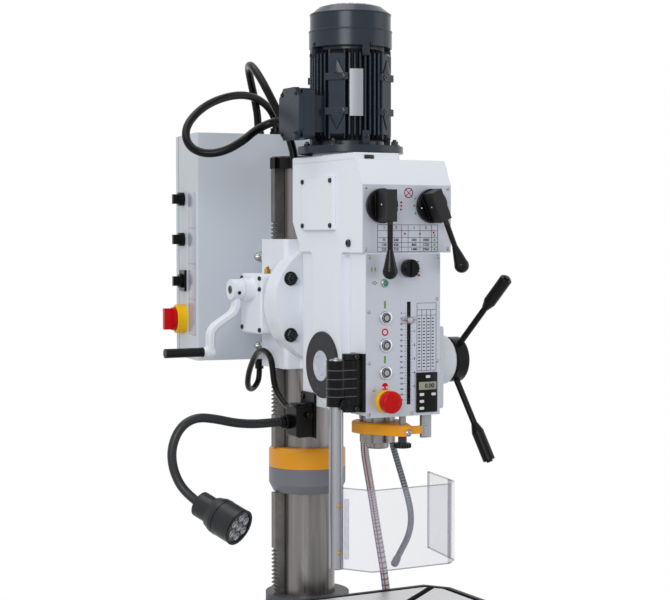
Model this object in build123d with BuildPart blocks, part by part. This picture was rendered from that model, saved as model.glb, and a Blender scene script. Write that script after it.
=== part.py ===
from build123d import *
import os
from math import acos, cos, pi, radians, sin, sqrt, tan

# Pillar drill with a geared head on a round column, in millimetres, one solid for each piece.
# The column's axis is X = Y = 0, the floor is Z = 0, and the operator stands on the -Y side.

# Fits
slide_fit = 0.08
turn_fit = 0.05
free_gap = 0.3
pressure_angle = radians(20)
backlash = 0.4

# Stand
base_half_width = 225
base_front = -470
base_rear = 140
base_height = 90
base_deck = 40
base_rim = 60
base_corner = 30
base_chamfer = 6
anchor_inset_x = 30
anchor_inset_y = 38
anchor_hole_r = 9
base_slot_x = 90
slot_neck = 16
slot_neck_depth = 12
slot_tee = 28
slot_tee_depth = 12
column_r = 55
column_wall = 10
column_top = 1765
foot_flange_r = 115
foot_flange_height = 30
foot_hub_r = 80
foot_height = 140
foot_chamfer = 8
collar_r = 77
collar_low = 1110
collar_seam = 1160
collar_top = 1200
collar_top_chamfer = 6
collar_taper_height = 17
collar_taper_depth = 8.6
cap_r = 71
cap_low = 1753
cap_top = 1777
cap_lug_half = 11
cap_chamfer = 3

# Racks on the column's left side and the pinion that climbs the upper one
rack_depth = 21
rack_half_width = 8.5
rack_module = 2.5
rack_addendum = 1.75
rack_dedendum = 2.8
rack_teeth_low = 1262
rack_teeth_high = 1647
lift_teeth = 12
lift_addendum = 2.2
lift_dedendum = 2.6
table_rack_teeth_high = 1000
table_rack_plain_end = 30

# Head carrier
carrier_half_width = 80
carrier_front = -62
carrier_rear = 50
carrier_low = 1360
carrier_high = 1614
flange_r = 117
flange_z = 1488
flange_back = -43
flange_seam = -68
flange_front = -93
lug_rear = 80
lug_half_width = 62
lug_split = 4
carrier_corner = 10
clamp_bolt_y = 66
clamp_bolt_r = 7
clamp_bolt_z = (1398, 1578)
gear_cover_face = -120
gear_cover_front = -36
gear_cover_rear = 57.5
gear_cover_low = 1428
gear_cover_high = 1546
gear_cover_wall = 6
gear_cover_corner = 8
gear_cover_chamfer = 3
pinion_shaft_inset = 2
crank_y = 8
crank_z = 1515
crank_boss_r = 22.5
crank_boss_face = -140
crank_shaft_r = 8
crank_hub_r = 20.5
crank_hub_length = 25
crank_drop = 121
crank_reach = 50
crank_arm_half = 11
crank_arm_width = 14
crank_arm_edge = 3
crank_neck = 42
crank_foot = 44
crank_bend = 30
crank_eye = 10
grip_r = 9
grip_length = 78
worm_r = 9.8
worm_gap = 2
pinion_shaft_r = 6

# Gear head housing: a lower body round the quill and a wider box above it
panel_y = -380
spindle_y = -285
head_left = -79
head_right = 75
head_rear = -126
head_low = 1300
lower_body_height = 290
head_wall = 19
cavity_floor = 40
head_rear_round = 14
box_left = -86
box_right = 98
box_rear = -107
box_height = 167
box_wall = 8
box_roof = 8
box_front_wall = 20
bevel_wall = 40
box_rear_wall = 30
box_floor = 22
belly_length = 54
belly_rise = 29
box_step = 9
box_slope_low = 12
box_slope_high = 57
neck_r = 62
fitting_root = 10
groove_back = 67
groove_half = 12
groove_depth = 7
groove_margin = 14
band_y = (-301, -187)
band_toe = -255
band_rise = 30
band_cove = 9
switch_pocket = 26
switch_pocket_r = 13
bevel_drop = 45
bevel_back = -358
cover_thickness = 12
cover_chamfer = 2
cover_round_r = 93
cover_right = 6
cover_setback = 6
side_cover_y = (-282, -158)
side_cover_rise = 41
side_cover_height = 98
side_cover_thickness = 8
plate_thickness = 2
speed_plate_x = (-85.4, 97.4)
speed_plate_edge = 0.7
control_plate_x = (-79, 75)
control_plate_drop = 4
control_plate_edge = 2
depth_slot_x = (5, 13)
depth_slot_z = (1317, 1502)

# Gears in the head
gear_module = 2.5
motor_teeth = 28
drive_teeth = 56
gear_addendum = 2.5
gear_dedendum = 3.0
gear_rise = 70
gear_width = 30
sleeve_r = 24
sleeve_rise = 6
sleeve_end = 10

# Quill and spindle
quill_r = 33
quill_low = 1240
quill_high = 1540
quill_bore_r = 18
quill_guide_r = 48
quill_travel = 120
feed_module = 2
feed_teeth = 22
feed_addendum = 1.4
feed_dedendum = 2.4
feed_z = 1381.6
feed_pinion_half = 14
journal_r = 26
journal_wall = 10
spindle_r = 17
spline_r = 14
spline_step = 5
spindle_low = 1228
spline_end = 35
nose_r = 21
nose_chamfer = 2
taper_mouth_r = 11.91
taper_end_r = 9.7
taper_depth = 94
bearing_r = 26
bearing_height = 18
clamp_low = 1258
clamp_high = 1278
clamp_ring_r = 48
clamp_end_r = 16
clamp_chamfer = 2
clamp_arm_low = 2
clamp_arm_high = 4
rod_x = 9
rod_y = -360
rod_r = 6.5
rod_high = 1520
rod_headroom = 40
scale_gap = 1
stop_knob_r = 15
stop_knob_low = 1236
stop_knob_height = 9
stop_sleeve_r = 8
scale_x = 58
scale_half_width = 10
scale_half_depth = 4
scale_low = 1252
scale_high = 1420

# Feed shaft, its right-hand housing and hub, and the spring cover on the left
feed_shaft_r = 10
feed_plate_half = 75
feed_plate_low = 85
feed_plate_high = 69
feed_plate_corner = 5
feed_plate_face = 130
feed_dome_r = 47
feed_dome_face = 181.7
feed_dome_chamfer = 6
feed_wall = 12
feed_boss_wall = 10
hub_chamfer = 3
feed_hub_r = 43.5
feed_hub_length = 29
spoke_angles = (51, -69, 171)
spoke_tilt = 13
spoke_offset = 6
spoke_r = 6
spoke_root = 26
spoke_length = 106
spoke_taper = 18
spoke_grip_r = 12
spoke_grip_length = 58
spoke_grip_chamfer = 2
spoke_button_r = 6
spoke_button = 5
spring_cover_r = 61.7
spring_cover_thickness = 5
spring_cover_wall = 4
spring_cover_chamfer = 2
spring_side_gap = 1
spring_turns = 4
spring_inner_r = 14
spring_strip = 1.2

# Motor on top of the head
motor_flange_r = 100
motor_flange_thickness = 13
motor_seat = 6
motor_seat_r = 72
motor_core_r = 64
motor_bore_r = 55
fin_r = 77
fin_thickness = 3
fin_count = 48
fin_chamfer = 9
fin_rise = 12
fin_length = 166
pad_angles = (42.5, 121.5, 222.5, 301.5)
pad_width = 32
pad_r = 78
pad_boss_width = 44
pad_boss_height = 13
pad_boss_r = 81
pad_boss_spacing = 64
cowl_gap = 7
cowl_wall = 2
cowl_band_r = 78.5
cowl_band_height = 32
cowl_r = 76.5
cowl_wall_height = 64
cowl_brow_r = 60
cowl_brow_height = 13
cowl_top_r = 46
cowl_dome_height = 17
rotor_r = 50
rotor_rise = 25
rotor_length = 120
rotor_shaft_r = 12
fan_r = 62
fan_rise = 23
fan_height = 24
fan_blades = 9
fan_blade = 3
fan_plate = 4
shield_height = 16
grille_slots = 20
grille_inner_r = 16
grille_outer_r = 54
grille_slot = 4
rotor_shaft_end = 20
terminal_x = (-130, -95)
terminal_y = (-218, -140)
terminal_height = 93
terminal_inset = 12
terminal_lid = 10
terminal_wall = 4
terminal_corner = 8
lid_overhang = 2
lid_corner = 18
fin_root = 3
bearing_wall = 12

# Operating controls on the front panel
speed_lever_x = (-48.6, 55)
speed_lever_rise = (83.5, 84)
speed_lever_swing = (0, 23)
speed_disc_r = 31
speed_disc_height = 9
speed_disc_bevel = 2
lever_stand = 32
lever_hub_width = 24
lever_hub_height = 57
lever_hub_cover = 6
lever_hub_round = 3
lever_rod_r = 5
lever_shaft = 16
lever_rod_length = 78
lever_grip_r = 13.5
lever_grip_length = 52
mode_dial_x = 7.8
mode_dial_drop = 28
mode_dial_r = 16
mode_dial_height = 15
mode_dial_bevel = 3
mode_dial_bar = 6
button_x = -39.7
button_z = (1474, 1425, 1376)
button_bezel_r = 12.2
bezel_height = 3
button_r = 8.5
button_stand = 6
button_stem = 16
button_stem_r = 5
estop_z = 1325
estop_r = 20
estop_stem_r = 11
estop_stand = 30
estop_head_height = 16
estop_round = 6

# Electrical cabinet behind the column, turned a little about Z
cabinet_corner_x = -176
cabinet_corner_y = 150
cabinet_turn = -8.1
cabinet_width = 300
cabinet_depth = 140
door_depth = 22
cabinet_low = 1366
cabinet_high = 1830
cabinet_wall = 3
bracket_x = (8, 60)
bracket_z = (1440, 1560)
switch_depth = 100
selector_z = (1697, 1613, 1526)
selector_r = 14
selector_length = 24
main_switch_z = 1447
main_switch_r = 24
main_switch_length = 44
main_disc = 6
switch_stem_r = 5
switch_stem = 14
main_plate_gap = 20.5
knuckle_r = 5
knuckle_length = 30
hinge_low_inset = 90
hinge_high_inset = 120
knuckle_edge = 1
cabinet_corner_r = 5
selector_grip = 10
main_grip = 14
grip_inset = 2

# Drill guard on the head's left
hinge_x = -104
hinge_y = -361
hinge_plate_y = (-380, -336)
hinge_plate_z = (1307, 1411)
hinge_plate_thickness = 6
hinge_ear = 11
hinge_ear_r = 11
hinge_pin_r = 4
rail_x = -128
rail_r = 13
rail_low = 1028
rail_high = 1402
rail_chamfer = 2
rail_flutes = 6
rail_flute_width = 5
rail_flute_depth = 2
block_r = 17.5
block_half = 14.5
block_round = 15
block_lap = 11
shield_points = ((-121.2, -354.2), (-84, -414), (78, -412), (101, -389), (121, -268))
shield_thickness = 4
shield_bend_r = 12
shield_low = 1027
shield_high = 1173

# Work lamp under the head's rear left corner
lamp_y = -150
lamp_plate_y = (-192, -136)
lamp_plate_z = (1240, 1325)
lamp_plate_thickness = 5
lamp_body_x = (-118, -79)
lamp_body_z = (1242, 1302)
lamp_arm_r = 8.5
lamp_arm_points = (
    (-118, lamp_y, 1269), (-150, lamp_y, 1269), (-187, lamp_y, 1268), (-227, lamp_y, 1272),
    (-267, lamp_y, 1282), (-301, lamp_y, 1287), (-327, lamp_y, 1279), (-345, lamp_y, 1260),
    (-355, lamp_y, 1232), (-355, -152, 1205), (-349, -157, 1180), (-339, -167, 1158),
    (-322, -190, 1138), (-318.5, -196.6, 1135.1),
)
lamp_rear_r = 24
lamp_rear_length = 33
lamp_step_r = 29
lamp_step_length = 14
lamp_head_r = 33.5
lamp_head_length = 95
lamp_recess = 5
lamp_rim = 4
lamp_body_inset = 4
lamp_body_round = 4

# Cords and hoses: routes from end to end
arc_share = 0.45
conduit_r = 8
gland_r = 12
control_route = (
    (-32, 160, 1844), (-32, 160, 1864), (-42, 153, 1900), (-62, 133, 1940), (-84, 98, 1966),
    (-95, 52, 1959), (-93, 10, 1924), (-86, -20, 1884), (-76, -43, 1845), (-67, -56, 1810),
    (-61, -60, 1786), (-59, -61, 1766), (-58, -66, 1749), (-58, -79, 1741), (-58, -95, 1741),
)
motor_route = (
    (5, 150, 1844), (5, 150, 1860), (-14, 145, 1887), (-56, 121, 1904), (-107, 92, 1905),
    (-166, 60, 1891), (-217, 30, 1868), (-256, 6, 1836), (-269, -14, 1806), (-262, -34, 1784),
    (-240, -54, 1775), (-210, -71, 1781), (-177, -80, 1801), (-156, -75, 1817), (-136, -75, 1829),
    (-119, -83, 1837), (-109, -99, 1840), (-107, -113, 1840), (-107, -126, 1840),
)
lamp_cable_r = 6
lamp_cable_route = (
    (-105, -140, 1293), (-105, -126, 1293), (-106, -104, 1303), (-107, -82, 1316), (-107, -68, 1334),
    (-105, -58, 1357), (-103, -49, 1377), (-100, -26, 1391), (-98, 8, 1395), (-95, 42, 1382),
    (-89, 82, 1351), (-81, 110, 1322), (-69, 130, 1306), (-54, 142, 1303), (-40, 151, 1312),
    (-32, 156, 1326), (-32, 156, 1344),
)
cable_gland_r = 9
hose_r = 8
hose_fitting_r = 11
hose_route = (
    (36, -172, 1286), (36, -172, 1258), (44, -156, 1207), (66, -131, 1161), (90, -107, 1101),
    (107, -97, 1034), (131, -93, 916), (148, -88, 760), (160, -70, 600), (168, -46, 440), (172, -26, 290),
    (173, -20, 170), (173, -20, 104),
)
nozzle_r = 6
nozzle_route = (
    (60, -224, 1286), (60, -224, 1258), (66, -225, 1226), (75, -228, 1194), (84, -232, 1161),
    (92, -238, 1127), (96, -246, 1095), (91, -254, 1069), (77, -264, 1047), (55, -275, 1026),
    (36, -285, 1006),
)

# Table on its arm
table_half_width = 245
table_rear = -105
table_front = -505
table_low = 875
table_high = 915
table_corner = (34, 46)
table_trough = 12
table_trough_depth = 10
table_rim = 9
table_slot_angle = 39
table_slot_length = 540
arm_sleeve_r = 84
arm_low = 745
arm_high = 905
arm_half_width = 70
arm_front = -360
arm_beam_low = 790
arm_corner = 20
table_crank_y = 34
table_crank_z = 830
table_drive_face = -122
table_boss_height = 18
table_drive_y = (-40, 60)
table_drive_z = (780, 880)

# Values worked out from the driving dimensions
column_bore_r = column_r - column_wall
rack_tip_x = -(column_r + rack_depth)
rack_pitch = pi * rack_module
rack_pitch_x = rack_tip_x + rack_addendum
lift_pitch_r = rack_module * lift_teeth / 2
lift_pinion_x = rack_pitch_x - lift_pitch_r
lift_pinion_z = crank_z - worm_r - lift_pitch_r - lift_addendum - free_gap
feed_pitch_r = feed_module * feed_teeth / 2
feed_pitch = pi * feed_module
feed_y = spindle_y + quill_r - feed_addendum - free_gap / 2 + feed_pitch_r
head_seam = head_low + lower_body_height
box_high = head_seam + box_height
bevel_low = box_high - bevel_drop
head_top = box_high + cover_thickness
side_cover_z = (head_seam + side_cover_rise, head_seam + side_cover_rise + side_cover_height)
speed_plate_z = (head_seam + speed_plate_edge, bevel_low - speed_plate_edge)
control_plate_z = (head_low - control_plate_drop, head_seam - control_plate_edge)
gear_low = head_seam + gear_rise
sleeve_low = head_seam + sleeve_rise
sleeve_high = gear_low + gear_width + sleeve_end
spline_low = quill_high + spline_step
spindle_high = sleeve_high + spline_end
gear_distance = gear_module * (motor_teeth + drive_teeth) / 2
motor_low = head_top + motor_seat
fin_low = motor_low + motor_flange_thickness + fin_rise
fin_high = fin_low + fin_length
cowl_low = fin_high + cowl_gap
fan_low = cowl_low + fan_rise
terminal_z = (fin_low, fin_low + terminal_height)
motor_y = spindle_y + gear_distance
table_rack_low = base_height + foot_height + 1
table_boss_face = table_drive_face - table_boss_height
cabinet_plane = Plane(
    origin=(cabinet_corner_x, cabinet_corner_y, 0),
    x_dir=(cos(radians(cabinet_turn)), sin(radians(cabinet_turn)), 0),
    z_dir=(0, 0, 1),
)
panel_face = panel_y - plate_thickness
bezel_y = (panel_face - bezel_height, panel_face)
mode_dial_z = head_seam - mode_dial_drop
speed_lever_z = [head_seam + rise for rise in speed_lever_rise]
shaft_places = list(zip(speed_lever_x, speed_lever_z)) + [(mode_dial_x, mode_dial_z)]
upright = (Align.CENTER, Align.CENTER, Align.MIN)


def save(piece, name):
    """Label a finished piece and write its STEP file."""
    piece.part.label = name
    export_step(piece.part, f"parts/{name}.step")


def block(x, y, z, mode=Mode.ADD):
    """A box between two limits on each axis."""
    with Locations(((x[0] + x[1]) / 2, (y[0] + y[1]) / 2, (z[0] + z[1]) / 2)):
        Box(abs(x[1] - x[0]), abs(y[1] - y[0]), abs(z[1] - z[0]), mode=mode)


def bar_x(x, y, z, radius, mode=Mode.ADD):
    """A round bar along X between two limits."""
    with Locations(((x[0] + x[1]) / 2, y, z)):
        Cylinder(radius, abs(x[1] - x[0]), rotation=(0, 90, 0), mode=mode)


def bar_y(x, y, z, radius, mode=Mode.ADD):
    """A round bar along Y between two limits."""
    with Locations((x, (y[0] + y[1]) / 2, z)):
        Cylinder(radius, abs(y[1] - y[0]), rotation=(90, 0, 0), mode=mode)


def bar_z(x, y, z, radius, mode=Mode.ADD):
    """A round bar along Z between two limits."""
    with Locations((x, y, (z[0] + z[1]) / 2)):
        Cylinder(radius, abs(z[1] - z[0]), mode=mode)


def outline(plane, points):
    """A flat face on a plane, from its corner points."""
    with BuildSketch(plane) as face:
        with BuildLine():
            Polyline(*points, close=True)
        make_face()
    return face.sketch


def gear_outline(plane, module, teeth, addendum, dedendum, first_tooth):
    """An involute gear's outline, with its first tooth at the given angle in radians."""
    pitch_r = module * teeth / 2
    base_r = pitch_r * cos(pressure_angle)
    root_r = pitch_r - dedendum
    tip_r = pitch_r + addendum
    half_pitch_angle = pi / (2 * teeth) - backlash / (4 * pitch_r)
    start_r = max(base_r, root_r)
    flank = []
    for step in range(4):
        r = start_r + (tip_r - start_r) * step / 3
        roll = acos(min(1, base_r / r))
        curl = tan(roll) - roll - tan(pressure_angle) + pressure_angle
        flank.append((r, half_pitch_angle - curl))
    if root_r < start_r:
        flank.insert(0, (root_r, flank[0][1]))
    points = []
    for tooth in range(teeth):
        centre = first_tooth + 2 * pi * tooth / teeth
        for r, half in flank:
            points.append((r * cos(centre - half), r * sin(centre - half)))
        for r, half in reversed(flank):
            points.append((r * cos(centre + half), r * sin(centre + half)))
    return outline(plane, points)


def rack_outline(low, high, teeth_low, teeth_high, phase):
    """A rack's outline on the XZ plane: a straight back on the column, teeth that face -X."""
    back = -column_r - turn_fit
    root_x = rack_tip_x + rack_addendum + rack_dedendum
    tip_half = rack_pitch / 4 + rack_addendum * tan(pressure_angle) + backlash / 4
    root_half = rack_pitch / 4 - rack_dedendum * tan(pressure_angle) + backlash / 4
    points = [(back, high), (back, low), (rack_tip_x, low)]
    space = phase - rack_pitch * int((phase - teeth_low) / rack_pitch)
    while space < teeth_high:
        points.append((rack_tip_x, space - tip_half))
        points.append((root_x, space - root_half))
        points.append((root_x, space + root_half))
        points.append((rack_tip_x, space + tip_half))
        space += rack_pitch
    points.append((rack_tip_x, high))
    return outline(Plane.XZ, points)


def tee_slot(centre, angle, length):
    """Cut a T-slot of the given length into a top face, centred and turned about Z."""
    with Locations(Location(centre, (0, 0, angle))):
        Box(length, slot_neck, 2 * slot_neck_depth, mode=Mode.SUBTRACT)
        with Locations((0, 0, -slot_neck_depth - slot_tee_depth / 2)):
            Box(length, slot_tee, slot_tee_depth, mode=Mode.SUBTRACT)


def bend_radii(points):
    """The arc radius at each corner of a cord's route, as large as its two runs allow."""
    radii = []
    for before, corner, after in zip(points, points[1:], points[2:]):
        run_in = Vector(corner) - Vector(before)
        run_out = Vector(after) - Vector(corner)
        turn = radians(run_in.get_angle(run_out))
        radii.append(arc_share * min(run_in.length, run_out.length) / tan(turn / 2))
    return radii


def cord(points, radius, name):
    """A cord's solid: a round tube along straight runs and tangent arcs."""
    radii = bend_radii(points)
    with BuildPart() as tube:
        with BuildLine():
            route = FilletPolyline(*points, radius=radii)
        with BuildSketch(Plane(origin=route @ 0, z_dir=route % 0)):
            Circle(radius)
        sweep(path=route)
    expected = pi * radius**2 * route.length
    ratio = round(tube.part.volume / expected, 4)
    print(name, "length", round(route.length), "volume ratio", ratio, "radii", [round(r) for r in radii])
    save(tube, name)


os.makedirs("parts", exist_ok=True)

# Base plate: a hollow casting with two T-slots, four anchor holes and a solid seat under the column
with BuildPart() as base_plate:
    block((-base_half_width, base_half_width), (base_front, base_rear), (0, base_height))
    fillet(base_plate.edges().filter_by(Axis.Z), radius=base_corner)
    chamfer(base_plate.faces().sort_by(Axis.Z)[-1].edges(), length=base_chamfer)
    pocket_front = base_front + base_rim
    pocket_rear = -foot_flange_r - base_rim / 2
    pocket_side = base_half_width - base_rim
    for side in (-1, 1):
        block((side * base_rim / 3, side * pocket_side), (pocket_front, pocket_rear),
              (0, base_height - base_deck), mode=Mode.SUBTRACT)
        slot_length = pocket_rear - base_front
        tee_slot((side * base_slot_x, (base_front + pocket_rear) / 2, base_height), 90, slot_length)
        anchor_x = side * (base_half_width - anchor_inset_x)
        for anchor_y in (base_front + anchor_inset_y, base_rear - anchor_inset_y):
            bar_z(anchor_x, anchor_y, (-1, base_height + 1), anchor_hole_r, mode=Mode.SUBTRACT)
    hose_end = hose_route[-1]
    bar_z(hose_end[0], hose_end[1], (base_height, hose_end[2]), hose_fitting_r)
save(base_plate, "base_plate")

# Column foot: the flanged socket that the column stands in
with BuildPart() as column_foot:
    bar_z(0, 0, (base_height, base_height + foot_flange_height), foot_flange_r)
    bar_z(0, 0, (base_height, base_height + foot_height), foot_hub_r)
    chamfer(column_foot.faces().sort_by(Axis.Z)[-1].edges(), length=foot_chamfer)
    bar_z(0, 0, (base_height, base_height + foot_height), column_r + turn_fit, mode=Mode.SUBTRACT)
save(column_foot, "column_foot")

with BuildPart() as column:
    bar_z(0, 0, (base_height, column_top), column_r)
    bar_z(0, 0, (base_height, column_top), column_bore_r, mode=Mode.SUBTRACT)
save(column, "column")

# The two rings on the column that end the racks: grey below, yellow above
with BuildPart() as collar_lower:
    bar_z(0, 0, (collar_low + collar_taper_height, collar_seam), collar_r)
    with Locations((0, 0, collar_low)):
        Cone(collar_r - collar_taper_depth, collar_r, collar_taper_height, align=upright)
    bar_z(0, 0, (collar_low, collar_seam), column_r + turn_fit, mode=Mode.SUBTRACT)
save(collar_lower, "collar_lower")

with BuildPart() as collar_upper:
    bar_z(0, 0, (collar_seam, collar_top), collar_r)
    chamfer(collar_upper.faces().sort_by(Axis.Z)[-1].edges(), length=collar_top_chamfer)
    bar_z(0, 0, (collar_seam, collar_top), column_r + turn_fit, mode=Mode.SUBTRACT)
save(collar_upper, "collar_upper")

with BuildPart() as column_cap:
    bar_z(0, 0, (cap_low, cap_top), cap_r)
    block((rack_tip_x - 1, 0), (-cap_lug_half, cap_lug_half), (cap_low, cap_top))
    chamfer(column_cap.faces().sort_by(Axis.Z)[-1].edges(), length=cap_chamfer)
    bar_z(0, 0, (cap_low, column_top), column_r + turn_fit, mode=Mode.SUBTRACT)
save(column_cap, "column_cap")

with BuildPart() as head_rack:
    extrude(rack_outline(collar_top, cap_low, rack_teeth_low, rack_teeth_high, lift_pinion_z),
            amount=rack_half_width, both=True)
save(head_rack, "head_rack")

# Head carrier: the clamped sleeve on the column, its round front flange and the cabinet's bracket
with BuildPart() as head_carrier:
    carrier_z = (carrier_low, carrier_high)
    block((-carrier_half_width, carrier_half_width), (carrier_front, carrier_rear), carrier_z)
    fillet(head_carrier.edges().filter_by(Axis.Z), radius=carrier_corner)
    bar_z(0, 0, carrier_z, carrier_half_width - 2)
    block((-lug_half_width, lug_half_width), (carrier_rear - carrier_corner, lug_rear), carrier_z)
    bar_y(0, (flange_seam, flange_back), flange_z, flange_r)
    bracket_ends = []
    for bracket_side in bracket_x:
        along = bracket_side - cabinet_corner_x
        bracket_ends.append((bracket_side, cabinet_corner_y + along * tan(radians(cabinet_turn))))
    bracket_root = [(bracket_x[1], lug_rear - 20), (bracket_x[0], lug_rear - 20)]
    bracket_face = outline(Plane.XY.offset(bracket_z[0]), bracket_ends + bracket_root)
    extrude(bracket_face, amount=bracket_z[1] - bracket_z[0])
    block((-flange_r, flange_r), (flange_seam - 20, flange_seam), carrier_z, mode=Mode.SUBTRACT)
    bar_z(0, 0, carrier_z, column_r + slide_fit, mode=Mode.SUBTRACT)
    block((-lug_split / 2, lug_split / 2), (column_r / 2, lug_rear + 1), carrier_z, mode=Mode.SUBTRACT)
    rack_slot = rack_half_width + free_gap
    block((rack_tip_x - free_gap, 0), (-rack_slot, rack_slot), carrier_z, mode=Mode.SUBTRACT)
    window_y = (gear_cover_front + gear_cover_wall, gear_cover_rear - 2 * gear_cover_wall)
    block((-carrier_half_width - 1, -column_r - 8), window_y,
          (gear_cover_low + 2 * gear_cover_wall, gear_cover_high - gear_cover_wall), mode=Mode.SUBTRACT)
    for bolt_z in clamp_bolt_z:
        bar_x((-lug_half_width - 1, lug_half_width + 1), clamp_bolt_y, bolt_z, clamp_bolt_r + free_gap,
              mode=Mode.SUBTRACT)
save(head_carrier, "head_carrier")

# Lift gear cover: the box on the carrier's left that holds the pinion shaft and the crank's boss
with BuildPart() as lift_gear_cover:
    block((gear_cover_face, -carrier_half_width), (gear_cover_front, gear_cover_rear),
          (gear_cover_low, gear_cover_high))
    fillet(lift_gear_cover.edges().filter_by(Axis.X), radius=gear_cover_corner)
    chamfer(lift_gear_cover.faces().sort_by(Axis.X)[0].edges(), length=gear_cover_chamfer)
    bar_x((crank_boss_face, gear_cover_face + 1), crank_y, crank_z, crank_boss_r)
    block((gear_cover_face + gear_cover_wall, -carrier_half_width + 1),
          (gear_cover_front + gear_cover_wall, gear_cover_rear - gear_cover_wall),
          (gear_cover_low + gear_cover_wall, gear_cover_high - gear_cover_wall), mode=Mode.SUBTRACT)
    bar_x((crank_boss_face - 1, -carrier_half_width + 1), crank_y, crank_z, crank_shaft_r + turn_fit,
          mode=Mode.SUBTRACT)
    bore_y = (gear_cover_front + pinion_shaft_inset, gear_cover_rear - pinion_shaft_inset)
    bar_y(lift_pinion_x, bore_y, lift_pinion_z, pinion_shaft_r + turn_fit, mode=Mode.SUBTRACT)
save(lift_gear_cover, "lift_gear_cover")

with BuildPart() as lift_pinion:
    pinion_face = gear_outline(Plane.XZ, rack_module, lift_teeth, lift_addendum, lift_dedendum, 0)
    pinion_place = Location((lift_pinion_x, 0, lift_pinion_z))
    extrude(pinion_face.moved(pinion_place), amount=rack_half_width, both=True)
    bar_y(lift_pinion_x, (bore_y[0] + free_gap, bore_y[1] - free_gap), lift_pinion_z, pinion_shaft_r)
save(lift_pinion, "lift_pinion")


def crank(boss_face, y, z, shaft_end, worm_x):
    """A crank that hangs down: shaft with its worm, hub, swept arm and a turned grip."""
    hub_x = boss_face - free_gap
    arm_x = hub_x - crank_hub_length
    low_z = z - crank_drop
    reach_x = arm_x - crank_reach
    neck_x = (arm_x + hub_x) / 2
    foot_x = reach_x + crank_arm_width / 2
    with BuildSketch(Plane.XZ.offset(-y)) as arm_face:
        with BuildLine():
            FilletPolyline((neck_x, z), (neck_x, z - crank_neck), (foot_x, low_z + crank_foot),
                           (foot_x, low_z), radius=crank_bend)
        trace(line_width=crank_arm_width)
    arm = extrude(arm_face.sketch, amount=crank_arm_half, both=True)
    arm_sides = arm.edges().group_by(Axis.Y)
    chamfer(arm_sides[0] + arm_sides[-1], length=crank_arm_edge)
    bar_x((arm_x, hub_x), y, z, crank_hub_r)
    bar_x((hub_x, shaft_end), y, z, crank_shaft_r)
    bar_x(worm_x, y, z, worm_r)
    bar_x((reach_x, reach_x + crank_arm_width), y, low_z, crank_arm_half + 1)
    grip_x = reach_x - crank_eye
    bar_x((reach_x + 1, grip_x), y, low_z, crank_eye)
    bar_x((grip_x, grip_x - grip_length), y, low_z, grip_r)


with BuildPart() as lift_crank:
    lift_shaft_end = -carrier_half_width - worm_gap
    lift_worm_x = (gear_cover_face + gear_cover_wall + worm_gap, lift_shaft_end)
    crank(crank_boss_face, crank_y, crank_z, lift_shaft_end, lift_worm_x)
save(lift_crank, "lift_crank")

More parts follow.
